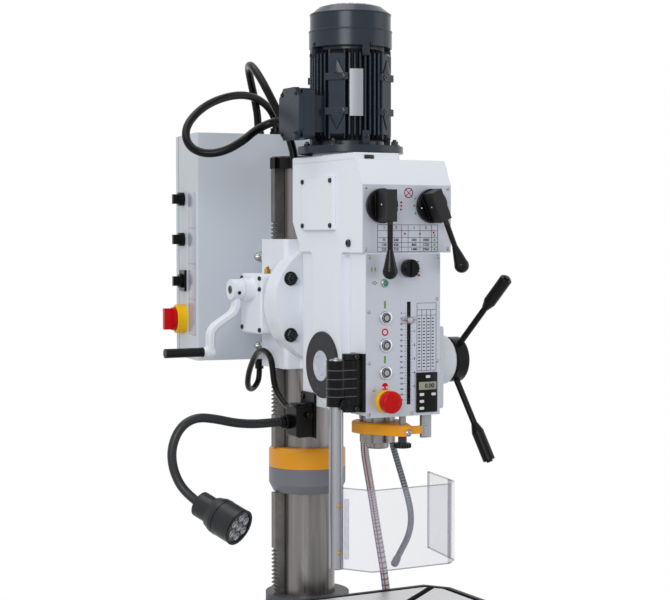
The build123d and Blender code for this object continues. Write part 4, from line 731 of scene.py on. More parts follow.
def spun(profile, angle, steps):
    """A profile of (radius, along) pairs, in mm, swept about UP through an angle."""
    deselect()
    bpy.ops.mesh.primitive_plane_add(size=MM, location=ORIGIN)
    piece = bpy.context.object
    bpy.ops.object.mode_set(mode="EDIT")
    bpy.ops.mesh.merge(type="CENTER")
    points = [Vector((radius, 0, along)) * MM for radius, along in profile]
    bpy.ops.transform.translate(value=points[0])
    for here, there in zip(points, points[1:]):
        bpy.ops.mesh.extrude_vertices_move(TRANSFORM_OT_translate={"value": there - here})
    bpy.ops.mesh.select_all(action="SELECT")
    bpy.ops.mesh.spin(steps=steps, angle=angle, center=ORIGIN, axis=UP)
    bpy.ops.mesh.select_all(action="SELECT")
    bpy.ops.mesh.remove_doubles(threshold=MM / 1000)
    close_mesh()
    return piece


def turned(profile, place, direction=UP, steps=32):
    """A round piece: a half profile of (radius, along) pairs, in mm, spun about a direction at a place."""
    return moved(spun(profile, FULL_TURN, steps), aimed(place, direction))


def run_length(points):
    """Length of a line of points."""
    return sum((there - here).length for here, there in zip(points, points[1:]))


def aimed(place, direction=UP):
    """The matrix that stands a piece made along UP at a place, in mm, along another direction."""
    turn = Vector(UP).rotation_difference(Vector(direction)).to_matrix().to_4x4()
    return Matrix.Translation(Vector(place) * MM) @ turn


def upright(x, y, angle):
    """The matrix that swings a piece about an upright axis through x, y, in mm, by an angle in degrees."""
    return Matrix.Translation((x * MM, y * MM, 0)) @ Matrix.Rotation(math.radians(angle), 4, "Z")


def round_axis(axis, count, start, place=ORIGIN, direction=UP):
    """Matrices for a ring of places about an upright axis (x, y), in mm, from a first angle in degrees."""
    turns = [start + 360 / count * step for step in range(count)]
    return [upright(*axis, turn) @ aimed(place, direction) for turn in turns]


def facing(y, spots):
    """Matrices for places (x, z), in mm, on a face that looks at the operator."""
    return [aimed((x, y, z), FORWARD) for x, z in spots]


def on_circle(x, z, radius, count):
    """Pairs of coordinates spaced round a circle, in mm."""
    angles = [FULL_TURN * step / count for step in range(count)]
    return [(x + radius * math.cos(angle), z + radius * math.sin(angle)) for angle in angles]


def moved(piece, matrix):
    """Puts a piece through a matrix."""
    piece.matrix_basis = matrix @ piece.matrix_basis
    return piece


def joined(pieces):
    """Pieces made into one, with their places put in the mesh."""
    take(pieces[0])
    for piece in pieces:
        piece.select_set(True)
    bpy.ops.object.transform_apply(location=True, rotation=True, scale=True)
    if len(pieces) > 1:
        bpy.ops.object.join()
    return bpy.context.object


def repeated(piece, matrices):
    """Copies of a piece, each with its own mesh, put through matrices and made into one."""
    copies = []
    for matrix in matrices:
        copy = piece.copy()
        copy.data = piece.data.copy()
        bpy.context.collection.objects.link(copy)
        copies.append(moved(copy, matrix))
    bpy.data.objects.remove(piece)
    return joined(copies)


def slab(low, high, edge=0.6):
    """A block between two corners, in mm, with its edges worked round."""
    deselect()
    bpy.ops.mesh.primitive_cube_add(size=1, location=ORIGIN)
    piece = bpy.context.object
    piece.scale = (Vector(high) - Vector(low)) * MM
    bpy.ops.object.transform_apply(location=False, rotation=False, scale=True)
    open_mesh()
    bpy.ops.mesh.bevel(offset=edge * MM, segments=2, affect="EDGES")
    bpy.ops.object.mode_set(mode="OBJECT")
    piece.location = (Vector(high) + Vector(low)) / 2 * MM
    return piece


def level(left, right, z, half=HALF_LINE):
    """A level bar of print about a height, in mm."""
    return left, right, z - half, z + half


def post(x, low, high):
    """An upright line of print, in mm."""
    return x - HALF_LINE, x + HALF_LINE, low, high


def printed(bars, y):
    """Bars of print (left, right, low, high and sometimes a turn), in mm, on a plate at y."""
    deselect()
    bpy.ops.mesh.primitive_plane_add(size=1, location=ORIGIN, rotation=(math.pi / 2, 0, 0))
    strip = bpy.context.object
    bpy.ops.object.transform_apply(location=False, rotation=True, scale=False)
    open_mesh()
    bpy.ops.mesh.extrude_region_move(TRANSFORM_OT_translate={"value": (0, -sizes().mark_depth, 0)})
    close_mesh()
    matrices = []
    for left, right, low, high, *turn in bars:
        middle = Vector(((left + right) / 2, y, (low + high) / 2)) * MM
        spread = Matrix.Diagonal(((right - left) * MM, 1, (high - low) * MM, 1))
        angle = math.radians(turn[0]) if turn else 0
        matrices.append(Matrix.Translation(middle) @ Matrix.Rotation(angle, 4, "Y") @ spread)
    return repeated(strip, matrices)


def numbered(words, y, height):
    """Numbers (text, x, z), places and height in mm, on a plate at y that looks at the operator."""
    pieces = []
    for word, x, z in words:
        deselect()
        bpy.ops.object.text_add(location=(x * MM, y * MM, z * MM), rotation=(math.pi / 2, 0, 0))
        letters = bpy.context.object.data
        letters.body = word
        letters.size = height / FIGURE_SHARE * MM
        letters.align_x = "CENTER"
        letters.align_y = "CENTER"
        letters.extrude = sizes().mark_depth
        letters.offset = height * 0.03 * MM
        letters.resolution_u = 2
        bpy.ops.object.convert(target="MESH")
        pieces.append(bpy.context.object)
    return joined(pieces)


def disc(radius, height, sunk=0.4):
    """Half profile of a low round cap or mark that stands on a face."""
    edge = min(0.4, height / 2)
    return (0, height), (radius - edge, height), (radius, height - edge), (radius, -sunk), (0, -sunk)


def ring(inner, outer, height, sunk=0.4):
    """Half profile of a flat ring that stands on a face."""
    return (inner, -sunk), (inner, height), (outer, height), (outer, -sunk), (inner, -sunk)


def socket_head(radius, height):
    """Half profile of a socket screw's head, with its socket."""
    floor = height * 0.3
    return ((0, floor), (radius * 0.5, floor), (radius * 0.5, height), (radius * 0.82, height),
            (radius, height * 0.78), (radius, -0.5), (0, -0.5))


def pan_head(radius):
    """Half profile of a domed screw head with a dimple for the driver."""
    return ((0, radius * 0.26), (radius * 0.2, radius * 0.3), (radius * 0.34, radius * 0.56),
            (radius * 0.75, radius * 0.42), (radius, radius * 0.08), (radius, -0.5), (0, -0.5))


def hex_head(across, height):
    """Half profile of a hexagon head, for six steps: its corners are taken off at the top."""
    return ((0, height), (across * 0.84, height), (across, height * 0.84), (across, -0.4), (0, -0.4))


def hex_bolt(across, height, washer):
    """A hexagon head on its washer, made at the origin along UP, in mm."""
    seat = 2.2
    head = turned(hex_head(across, height), (0, 0, seat), UP, 6)
    stud = turned(disc(across * 0.5, height * 0.45, 1), (0, 0, seat + height), UP, 16)
    return joined([head, stud, turned(disc(washer, seat), ORIGIN, UP, 24)])


def dome_nut(across, washer):
    """A dome nut on its washer, made at the origin along UP, in mm."""
    flats = across * 0.8
    nut = turned(hex_head(across, across * 0.9), (0, 0, 3), UP, 6)
    dome = turned(
        ((0, across * 1.9), (flats * 0.5, across * 1.78), (flats * 0.86, across * 1.4), (flats, across * 0.9),
         (flats, 0), (0, 0)), (0, 0, 3), UP, 24)
    return joined([nut, dome, turned(disc(washer, 3), ORIGIN, UP, 24)])


def plate_screws(name, spots):
    """Small domed screws at places (x, z), in mm, on the front plates."""
    screw = turned(pan_head(sizes().plate_screw / MM), ORIGIN, UP, 16)
    settle(repeated(screw, facing(PLATE_FACE, spots)), name, screw_steel(), "head")


def print_height():
    """How far a mark stands off its plate, in mm."""
    return sizes().mark_depth / MM


class DRILL_OT_castings(bpy.types.Operator):
    """Sprays the castings, the cabinet and the motor"""

    bl_idname = "drill.castings"
    bl_label = "Castings"

    def execute(self, context):
        paint_nodes(
            head_enamel(), "head_carrier", "lift_gear_cover", "gear_head_housing", "head_covers",
            "feed_housing")
        paint_nodes(crank_coat(), "lift_crank", "table_crank")
        paint_nodes(cabinet_coat(), "cabinet_body", "cabinet_door")
        paint_nodes(motor_enamel(), "motor_housing", "fan_cowl", "terminal_box")
        paint_nodes(yellow_enamel(), "collar_upper", "depth_clamp")
        paint_nodes(collar_enamel(), "collar_lower")
        paint_nodes(base_enamel(), "base_plate", "column_foot", "table_arm")
        return {"FINISHED"}


class DRILL_OT_bare_metal(bpy.types.Operator):
    """Finishes the ground, turned, milled and planed metal"""

    bl_idname = "drill.bare_metal"
    bl_label = "Bare metal"

    def execute(self, context):
        paint_nodes(plate_silver(), "front_plates")
        paint_nodes(ground_steel(), "column")
        paint_nodes(
            turned_steel(), "quill", "spindle", "quill_bearings", "feed_shaft", "motor_rotor", "drive_gear",
            "lift_pinion")
        paint_nodes(rod_finish(), "depth_rod")
        paint_nodes(rail_aluminium(), "guard_rail")
        paint_nodes(rack_steel(), "head_rack", "table_rack", "return_spring")
        paint_nodes(table_iron(), "table_top")
        paint_nodes(hub_steel(), "feed_hub", "feed_levers", "guard_hinge")
        paint_nodes(cover_grey(), "spring_cover")
        paint_nodes(button_steel(), "start_button_upper", "stop_button", "start_button_lower")
        return {"FINISHED"}


class DRILL_OT_mouldings(bpy.types.Operator):
    """Finishes the knobs, grips, mounts and other plastic pieces"""

    bl_idname = "drill.mouldings"
    bl_label = "Mouldings"

    def execute(self, context):
        paint_nodes(
            black_plastic(), "column_cap", "mode_dial", "lamp_mount", "selector_upper", "selector_middle",
            "selector_lower", "conduit_glands", "guard_block")
        paint_nodes(lever_black(), "speed_lever_left", "speed_lever_right")
        paint_nodes(red_plastic(), "estop_button", "main_switch")
        paint_nodes(guard_clear(), "guard_shield")
        paint_nodes(lamp_charcoal(), "lamp_head")
        return {"FINISHED"}


class DRILL_OT_conduits(bpy.types.Operator):
    """Lays the two conduits from the cabinet and the lamp's cable"""

    bl_idname = "drill.conduits"
    bl_label = "Conduits"

    control = (
        (-32, 160, 1844), (-32, 160, 1864), (-42, 153, 1900), (-62, 133, 1940), (-84, 98, 1966),
        (-95, 52, 1959), (-93, 10, 1924), (-86, -20, 1884), (-76, -43, 1845), (-67, -56, 1810),
        (-61, -60, 1786), (-59, -61, 1766), (-58, -66, 1749), (-58, -79, 1741), (-58, -95, 1741))
    motor = (
        (5, 150, 1844), (5, 150, 1860), (-14, 145, 1887), (-56, 121, 1904), (-107, 92, 1905),
        (-166, 60, 1891), (-217, 30, 1868), (-256, 6, 1836), (-269, -14, 1806), (-262, -34, 1784),
        (-240, -54, 1775), (-210, -71, 1781), (-177, -80, 1801), (-156, -75, 1817), (-136, -75, 1829),
        (-119, -83, 1837), (-109, -99, 1840), (-107, -113, 1840), (-107, -126, 1840))
    cable = (
        (-105, -140, 1293), (-105, -126, 1293), (-106, -104, 1303), (-107, -82, 1316), (-107, -68, 1334),
        (-105, -58, 1357), (-103, -49, 1377), (-100, -26, 1391), (-98, 8, 1395), (-95, 42, 1382),
        (-89, 82, 1351), (-81, 110, 1322), (-69, 130, 1306), (-54, 142, 1303), (-40, 151, 1312),
        (-32, 156, 1326), (-32, 156, 1344))

    def lay(self, name, route, radius):
        tube, line = laid(name, route, radius, conduit_sheath())
        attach(tube, "head")
        run_length(line)
        return tube

    def execute(self, context):
        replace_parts(self.lay("control_sheath", self.control, 8), "control_conduit")
        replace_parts(self.lay("motor_sheath", self.motor, 8), "motor_conduit")
        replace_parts(self.lay("cable_sheath", self.cable, 6), "lamp_cable")
        return {"FINISHED"}


class DRILL_OT_coolant(bpy.types.Operator):
    """Hangs the clear coolant hose and the jointed nozzle"""

    bl_idname = "drill.coolant"
    bl_label = "Coolant lines"

    hose = (
        (36, -172, 1286), (36, -172, 1258), (44, -156, 1207), (66, -131, 1161), (90, -107, 1101),
        (107, -97, 1034), (131, -93, 916), (148, -88, 760), (160, -70, 600), (168, -46, 440),
        (172, -26, 290), (173, -20, 170), (173, -20, 104))
    nozzle = (
        (60, -224, 1286), (60, -224, 1258), (66, -225, 1226), (75, -228, 1194), (84, -232, 1161),
        (92, -238, 1127), (96, -246, 1095), (91, -254, 1069), (77, -264, 1047), (55, -275, 1026),
        (36, -285, 1006))

    def execute(self, context):
        hose, line = laid("hose_braid", self.hose, 8, hose_clear())
        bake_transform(hose)
        run_length(line)
        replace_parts(hose, "coolant_hose")
        nozzle, line = laid("nozzle_joints", self.nozzle, 6, nozzle_plastic())
        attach(nozzle, "head")
        tip = turned(
            ((4, 2), (4, -16), (6.4, -16), (7.2, -15), (7.2, -1), (6.4, 0), (5, 2), (4, 2)),
            line[-1] / MM, line[-1] - line[-3], 28)
        settle(tip, "nozzle_tip", nozzle_plastic_end(), "head")
        run_length(line)
        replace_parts(nozzle, "coolant_nozzle")
        return {"FINISHED"}


class DRILL_OT_lamp(bpy.types.Operator):
    """Bends the lamp's arm and fits its root nut, mount screws, visor and lens"""

    bl_idname = "drill.lamp"
    bl_label = "Lamp"

    arm = (
        (-118, -150, 1269), (-150, -150, 1269), (-187, -150, 1268), (-227, -150, 1272), (-267, -150, 1282),
        (-301, -150, 1287), (-327, -150, 1279), (-345, -150, 1260), (-355, -150, 1232), (-355, -152, 1205),
        (-349, -157, 1180), (-339, -167, 1158), (-322, -190, 1138), (-318.5, -196.6, 1135.1))
    aim = (3.5, -6.6, -2.9)
    cup_seat = 91.6
    cup_circle = 18.6

    def lens(self):
        head = aimed(self.arm[-1], self.aim)
        face = turned(((0, 1.6), (29, 1.6), (29.3, 1), (29.3, -0.6), (0, -0.6)), (0, 0, 90), UP, 40)
        settle(moved(face, head), "lamp_face", lens_face(), "head")
        cup = turned(
            ((0, 0.8), (2.4, 0.8), (2.8, 0.2), (6.2, 2.6), (7.6, 2.6), (8, 2), (8, -0.4), (0, -0.4)),
            ORIGIN, UP, 20)
        spots = [(0, 0), *on_circle(0, 0, self.cup_circle, 6)]
        cups = repeated(cup, [head @ aimed((*spot, self.cup_seat)) for spot in spots])
        settle(cups, "lamp_cups", lens_silver(), "head")
        bands = [
            turned(ring(33, 34.1, 2, 0), (0, 0, 93), UP, 40),
            turned(ring(33, 34, 1.6, 0), (0, 0, 54), UP, 40)]
        screw = turned(((0, 6), (3, 6), (4.2, 5), (4.2, 0), (0, 0)), (23.4, 0, 16), RIGHT, 12)
        trim = [moved(piece, head) for piece in (*bands, screw)]
        settle(joined(trim), "lamp_trim", black_plastic(), "head")

    def execute(self, context):
        arm = tube_from(route_curve("arm_sleeve", self.arm, 8.5))
        settle(arm, "arm_sleeve", arm_sleeve(), "head")
        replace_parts(arm, "lamp_arm")
        nut = turned(
            ((8.7, -0.4), (14, -0.4), (14, 6), (12.6, 7), (12.6, 14), (10.4, 16), (8.7, 16), (8.7, -0.4)),
            self.arm[0], LEFT, 24)
        visor = slab((-121, -189.5, 1297), (-83.5, -158, 1306), 3.4)
        knob = turned(
            ((0, 9), (4.6, 9), (6, 8), (6.4, 6), (6.4, 2), (4, 1), (4, -1), (0, -1)),
            (-95, -188, 1284), FORWARD, 14)
        settle(joined([nut, visor, knob]), "lamp_mount_trim", black_plastic(), "head")
        bolt = turned(socket_head(5, 3.4), (-84, -146, 1316), LEFT, 18)
        settle(bolt, "lamp_mount_bolt", bolt_black(), "head")
        self.lens()
        return {"FINISHED"}


class DRILL_OT_speed_plate(bpy.types.Operator):
    """Screws down the speed plate, prints it and trims the discs of the two speed levers"""

    bl_idname = "drill.speed_plate"
    bl_label = "Speed plate"

    screws = ((-79.5, 1705.5), (-79.5, 1596), (91.8, 1705.5), (91.8, 1596))
    rows = (1640, 1629.5, 1617, 1608.3, 1600, 1592)
    columns = (-56, -29.3, -6.4, 7.2, 32, 56.3, 69.3)
    gears = {-42.6: "1", -17.8: "2", 19.6: "1", 44.2: "2"}
    gear_row = 1634.7
    speeds = {-42.6: (75, 130, 220), -17.8: (240, 420, 710), 19.6: (500, 860, 1480), 44.2: (1000, 1720, 2960)}
    speed_rows = (1612.6, 1604.1, 1596)
    red_dots = (
        (-7.3, 1680), (-7.3, 1673.6), (-7.8, 1667), (-30.6, 1624), (0.4, 1624), (32, 1624), (61, 1626))
    green_dots = (
        (22.5, 1687.5), (20, 1674), (22.5, 1660.5), (63, 1621), (62.5, 1612.6), (62.5, 1604), (62.5, 1596))
    levers = {
        "speed_lever_left": (-48.6, 1673.5, 0, (-19.6, 1670)),
        "speed_lever_right": (55, 1674, 23, (30.2, 1669.8))}

    def figures(self):
        """The gears' numbers over the table, then its speeds, column by column."""
        words = [(gear, x, self.gear_row) for x, gear in self.gears.items()]
        for x, column in self.speeds.items():
            words += [(str(speed), x, z) for speed, z in zip(column, self.speed_rows)]
        return numbered(words, PLATE_FACE, 4.8)

    def dots(self, spots):
        return repeated(turned(disc(2, print_height()), ORIGIN, UP, 12), facing(PLATE_FACE, spots))

    def trim(self, body, x, z, swing, pointer):
        """A charcoal line near the rim as a painted highlight on the black disc, a rib beside the hub and two
        pointer dots.
        """
        swung = Matrix.Translation((x * MM, 0, z * MM)) @ Matrix.Rotation(math.radians(-swing), 4, "Y")
        # A charcoal ring on the black disc: a painted highlight along its rim.
        rim = turned(ring(28.4, 29, 0.25), (x, DISC_FACE, z), FORWARD, 48)
        settle(rim, body + "_rim", lamp_charcoal(), body)
        rib = moved(slab((-20, DISC_FACE - 6, -20), (-18.4, DISC_FACE + 0.3, 20)), swung)
        settle(rib, body + "_rib", black_plastic(), body)
        dot = turned(disc(1.5, 0.4), ORIGIN, UP, 14)
        spots = [swung @ aimed((-12, DISC_FACE - 13, 2), LEFT), *facing(DISC_FACE, [pointer])]
        settle(repeated(dot, spots), body + "_dots", white_print(), body)

    def execute(self, context):
        plate_screws("speed_plate_screws", self.screws)
        across = [level(self.columns[0], self.columns[-1], z) for z in self.rows]
        down = [post(x, self.rows[-1], self.rows[0]) for x in self.columns]
        circle = turned(ring(7.7, 9.1, print_height()), (8.1, PLATE_FACE, 1697), FORWARD, 40)
        ink = joined([circle, printed(across + down, PLATE_FACE), self.figures()])
        settle(ink, "speed_print", plate_ink(), "head")
        red = self.dots(self.red_dots)
        cross = printed([(-2.6, 18.8, 1696.3, 1697.7, turn) for turn in (45, -45)], PLATE_FACE - 0.1)
        settle(joined([red, cross]), "speed_print_red", red_plastic(), "head")
        settle(self.dots(self.green_dots), "speed_print_green", green_print(), "head")
        for body, settings in self.levers.items():
            self.trim(body, *settings)
        return {"FINISHED"}


class DRILL_OT_control_plate(bpy.types.Operator):
    """Fits the control plate's screws, bezels, pilot lamp, dial, marks, chart, display and pointer"""

    bl_idname = "drill.control_plate"
    bl_label = "Control plate"

    screws = (
        (-72.5, 1582.5), (69.5, 1582.5), (-73, 1484.7), (-73, 1394), (-73, 1301.5), (16, 1301), (68.8, 1506),
        (69.5, 1393.4), (-63.5, 1346.4))
    button_x = -39.7
    stop_z = 1325
    buttons = {"start_button_upper": 1474, "stop_button": 1425, "start_button_lower": 1376}
    bezel_face = -385
    button_face = -388
    stop_face = -412
    chart = (26, 66.5, 1377, 1499)
    keys = ((46.9, 1366), (34.1, 1334), (58.9, 1334), (34.1, 1321.5), (34.1, 1309))

    def fit_buttons(self):
        bezel = turned(
            ((9.2, -0.5), (9.2, 1.4), (10.2, 1.9), (11.6, 1.4), (12.3, 0.2), (12.3, -2.6), (9.2, -0.5)),
            ORIGIN, UP, 36)
        spots = facing(self.bezel_face, [(self.button_x, z) for z in self.buttons.values()])
        settle(repeated(bezel, spots), "button_bezels", bezel_chrome(), "head")
        for body, z in self.buttons.items():
            dark = turned(ring(5, 7.4, 0.3), (self.button_x, self.button_face, z), FORWARD, 36)
            settle(dark, body + "_ring", bolt_black(), body)
        collar = turned(
            ((11.8, -0.4), (19.4, -0.4), (20.8, 1), (20.8, 6), (18.6, 8), (11.8, 8), (11.8, -0.4)),
            (self.button_x, PLATE_FACE, self.stop_z), FORWARD, 48)
        settle(collar, "stop_collar", signal_plastic(), "head")
        line = turned(
            ((0, 0.9), (9.2, 0.7), (9.8, 0.1), (11, 0.1), (11.6, 0.7), (16, 0.1), (16, -0.4), (0, -0.4)),
            (self.button_x, self.stop_face, self.stop_z), FORWARD, 40)
        settle(line, "stop_face", red_plastic(), "estop_button")

    def fit_pilot(self):
        place = (-40.8, PLATE_FACE, 1536)
        bezel = turned(
            ((4.6, -0.4), (4.6, 2), (5.2, 3.2), (6, 3.4), (6.8, 2.6), (7, 1), (8.4, 0.8), (8.6, -0.4),
             (4.6, -0.4)), place, FORWARD, 24)
        settle(bezel, "pilot_bezel", screw_steel(), "head")
        lens = turned(
            ((0, 4.4), (2.4, 4.1), (4, 3.2), (4.6, 2), (4.6, -0.4), (0, -0.4)), place, FORWARD, 24)
        settle(lens, "pilot_lens", pilot_glass(), "head")

    def fit_dial(self):
        flute = turned(disc(1.5, 11), ORIGIN, UP, 10)
        flutes = repeated(flute, facing(PLATE_FACE - 2.5, on_circle(7.8, 1562, 14.9, 16)))
        settle(flutes, "mode_dial_flutes", black_plastic(), "mode_dial")

    def fit_scale(self):
        step = 9.75
        top = 1481.4
        inch = 24.8
        inch_top = 1473.4
        marks = [(str(10 * index), -6.5, top - step * index) for index in range(17)]
        inches = [(str(index), 20.9, inch_top - inch * index) for index in range(1, 6)]
        ticks = []
        for index in range(33):
            left = -1.5 if index % 2 == 0 else 1
            ticks.append(level(left, 4, top - step * index / 2, HALF_TICK))
        for index in range(25):
            right = 18 if index % 4 == 0 else 16
            ticks.append(level(14, right, inch_top - inch * index / 4, HALF_TICK))
        left, right, low, high = self.chart
        chart = [level(left, right, z) for z in (low, high, high - 12, high - 22)]
        chart += [post(x, low, high) for x in (left, right)]
        chart += [post(x, low, high - 12) for x in (left + 10, left + 20, left + 29)]
        for row in range(16):
            z = high - 28 - 5.8 * row
            chart += [level(x, x + 4.6, z, 0.9) for x in (left + 2.5, left + 12.5, left + 22, left + 31)]
        ring_mark = turned(ring(2.4, 3.2, print_height()), (-61.7, PLATE_FACE, 1536.5), FORWARD, 24)
        bars = [level(-68, -65, 1536.5, 0.4), level(-58.4, -55.4, 1536.5, 0.4)]
        ink = joined([
            numbered(marks, PLATE_FACE, 3.2), numbered(inches, PLATE_FACE, 4.4),
            printed(ticks + chart + bars, PLATE_FACE), ring_mark])
        settle(ink, "control_print", plate_ink(), "head")

    def fit_marks(self):
        green = printed([
            (-42.4, -38.6, 1491, 1504), (-42.4, -38.6, 1393, 1406), (-68.7, -66.5, 1557, 1564.4),
            (-61.9, -59.7, 1557, 1564.4), (23.5, 31, 1573, 1575)], PLATE_FACE)
        settle(green, "control_print_green", green_print(), "head")
        stop = turned(ring(4.2, 6.7, print_height()), (-40.4, PLATE_FACE, 1448.5), FORWARD, 32)
        middle = (-40.3, PLATE_FACE, 1351.5)
        cap = take(turned(disc(6.4, print_height()), middle, FORWARD, 32))
        open_mesh()
        bpy.ops.mesh.bisect(plane_co=Vector(middle) * MM, plane_no=UP, use_fill=True, clear_inner=True)
        bpy.ops.object.mode_set(mode="OBJECT")
        bars = printed([
            (-42.3, -38.3, 1348, 1351.6), (-46, -34.6, 1345.6, 1347.6), (24.5, 32, 1548.6, 1550.2),
            (28.4, 32.4, 1549.9, 1551.3, 35), (28.4, 32.4, 1547.5, 1548.9, -35)], PLATE_FACE)
        settle(joined([stop, cap, bars]), "control_print_red", red_plastic(), "head")

    def fit_display(self):
        face = PLATE_FACE - 4
        case = slab((24.3, face, 1301.4), (67.6, PLATE_FACE + 0.2, 1373.6), 1)
        settle(case, "display_case", black_plastic(), "head")
        pane = slab((28, face - 0.5, 1342.4), (65, face + 0.2, 1356.6), 0.2)
        settle(pane, "display_pane", display_grey(), "head")
        reading = numbered((("0.00", 50, 1349.2),), face - 0.5, 8)
        settle(reading, "display_reading", plate_ink(), "head")
        key = slab((-4.6, -2.6, -0.4), (4.6, 2.6, 1.4), 1.2)
        keys = repeated(key, facing(face, self.keys))
        settle(keys, "display_keys", white_print(), "head")

    def fit_slot(self):
        low, high = 1317, 1502
        # Black lips just behind the slot's edges: painted shade, a dark sheet where the slot's pale walls
        # would show.
        shade_lips = joined([
            slab((x, PLATE_FACE + 1.4, low), (x + 3.7, PLATE_FACE + 2.6, high), 0.2) for x in (4.6, 9.7)])
        settle(shade_lips, "slot_lips", black_plastic(), "head")
        z = 1469
        stem = slab((8.5, PLATE_FACE - 3, z - 1), (9.5, -365.5, z + 1), 0.2)
        nut = turned(
            ((0, 4.4), (3, 4.4), (4.2, 3.6), (5, 3.2), (5, 0.6), (4.4, 0), (0, 0)), (9, PLATE_FACE - 1.6, z),
            FORWARD, 16)
        settle(joined([stem, nut]), "pointer_nut", screw_steel(), "quill")
        cursor = slab((-6, PLATE_FACE - 1.5, z - 6), (22, PLATE_FACE - 0.4, z + 6), 0.4)
        settle(cursor, "pointer_cursor", cursor_clear(), "quill")
        hair = printed([level(-6, 24, z, 0.45)], PLATE_FACE - 1.5)
        settle(hair, "pointer_hair", red_plastic(), "quill")

    def execute(self, context):
        plate_screws("control_plate_screws", self.screws)
        self.fit_buttons()
        self.fit_pilot()
        self.fit_dial()
        self.fit_scale()
        self.fit_marks()
        self.fit_display()
        self.fit_slot()
        return {"FINISHED"}


class DRILL_OT_head_fasteners(bpy.types.Operator):
    """Fits the bolts, nuts, plugs and nipple of the head and its carrier, and the spring cover's cap"""

    bl_idname = "drill.head_fasteners"
    bl_label = "Head fasteners"

    cover_screws = ((-275, 1639), (-275, 1721), (-165, 1639), (-165, 1721))
    gear_screws = ((50, 1537), (49, 1439), (-31, 1537), (-31, 1516), (-31, 1436))
    spring_holes = ((-236, 1431), (-254, 1411), (-198, 1352), (-219, 1336), (-262, 1352))
    flange_bolts = ((-83.7, 1538), (-83.7, 1429), (83.7, 1538), (83.7, 1429))
    clamp_heights = (1398, 1578)
    cover_face = -94
    gear_face = -120
    flange_face = -93
    clamp_face = 62
    spring_face = -91

    def on_left(self, x, spots):
        return [aimed((x, y, z), LEFT) for y, z in spots]

    def execute(self, context):
        screw = sizes().cover_screw / MM
        covers = repeated(
            turned(socket_head(screw, 3), ORIGIN, UP, 18),
            self.on_left(self.cover_face, self.cover_screws) + self.on_left(self.gear_face, self.gear_screws))
        plug = turned(
            ((0, 1), (3.2, 1), (3.4, 4.2), (5.8, 4.2), (7, 3), (7, -0.5), (0, -0.5)),
            (-86, -331, 1607), LEFT, 12)
        across = sizes().flange_bolt / MM
        flange = repeated(hex_bolt(across, 9, across * 1.2), facing(self.flange_face, self.flange_bolts))
        vent = slab((-66.5, -354.6, 1758), (-47, -351, 1765), 1.4)
        settle(joined([covers, plug, flange, vent]), "head_bolts", bolt_black(), "head")
        nuts = repeated(
            dome_nut(11, 13.5), [aimed((-self.clamp_face, 66, z), LEFT) for z in self.clamp_heights])
        heads = repeated(
            hex_bolt(12, 8, 13.5), [aimed((self.clamp_face, 66, z), RIGHT) for z in self.clamp_heights])
        settle(joined([nuts, heads]), "clamp_nuts", screw_steel(), "head")
        nipple = turned(
            ((0, 15), (3, 14.6), (4.6, 13), (4.6, 11.4), (3.8, 10.4), (4.4, 9.6), (7, 9), (7, 1), (7, -0.5),
             (0, -0.5)), (-95, -14, 1546), UP, 6)
        settle(nipple, "grease_nipple", brass(), "head")
        crank = joined([
            turned(socket_head(3.6, 1.4), (-154.6, -11.7, 1509.2), (0, -0.96, -0.28), 16),
            turned(socket_head(8, 1.2), (-165.3, 8, 1515), LEFT, 20)])
        settle(crank, "crank_screws", bolt_black(), "lift_crank")
        cap = turned(
            ((0, 1.2), (17.8, 1.2), (18.2, 0.6), (19, 0.6), (19.4, 1.2), (27.6, 1.2), (28.4, 0.6),
             (28.4, -0.5), (0, -0.5)), (self.spring_face, -231.55, 1379.5), LEFT, 48)
        settle(cap, "spring_cap", plate_silver(), "head")
        hole = turned(disc(2.6, 0.3), ORIGIN, UP, 14)
        holes = repeated(hole, self.on_left(self.spring_face, self.spring_holes))
        settle(holes, "spring_cover_screws", bolt_black(), "head")
        return {"FINISHED"}


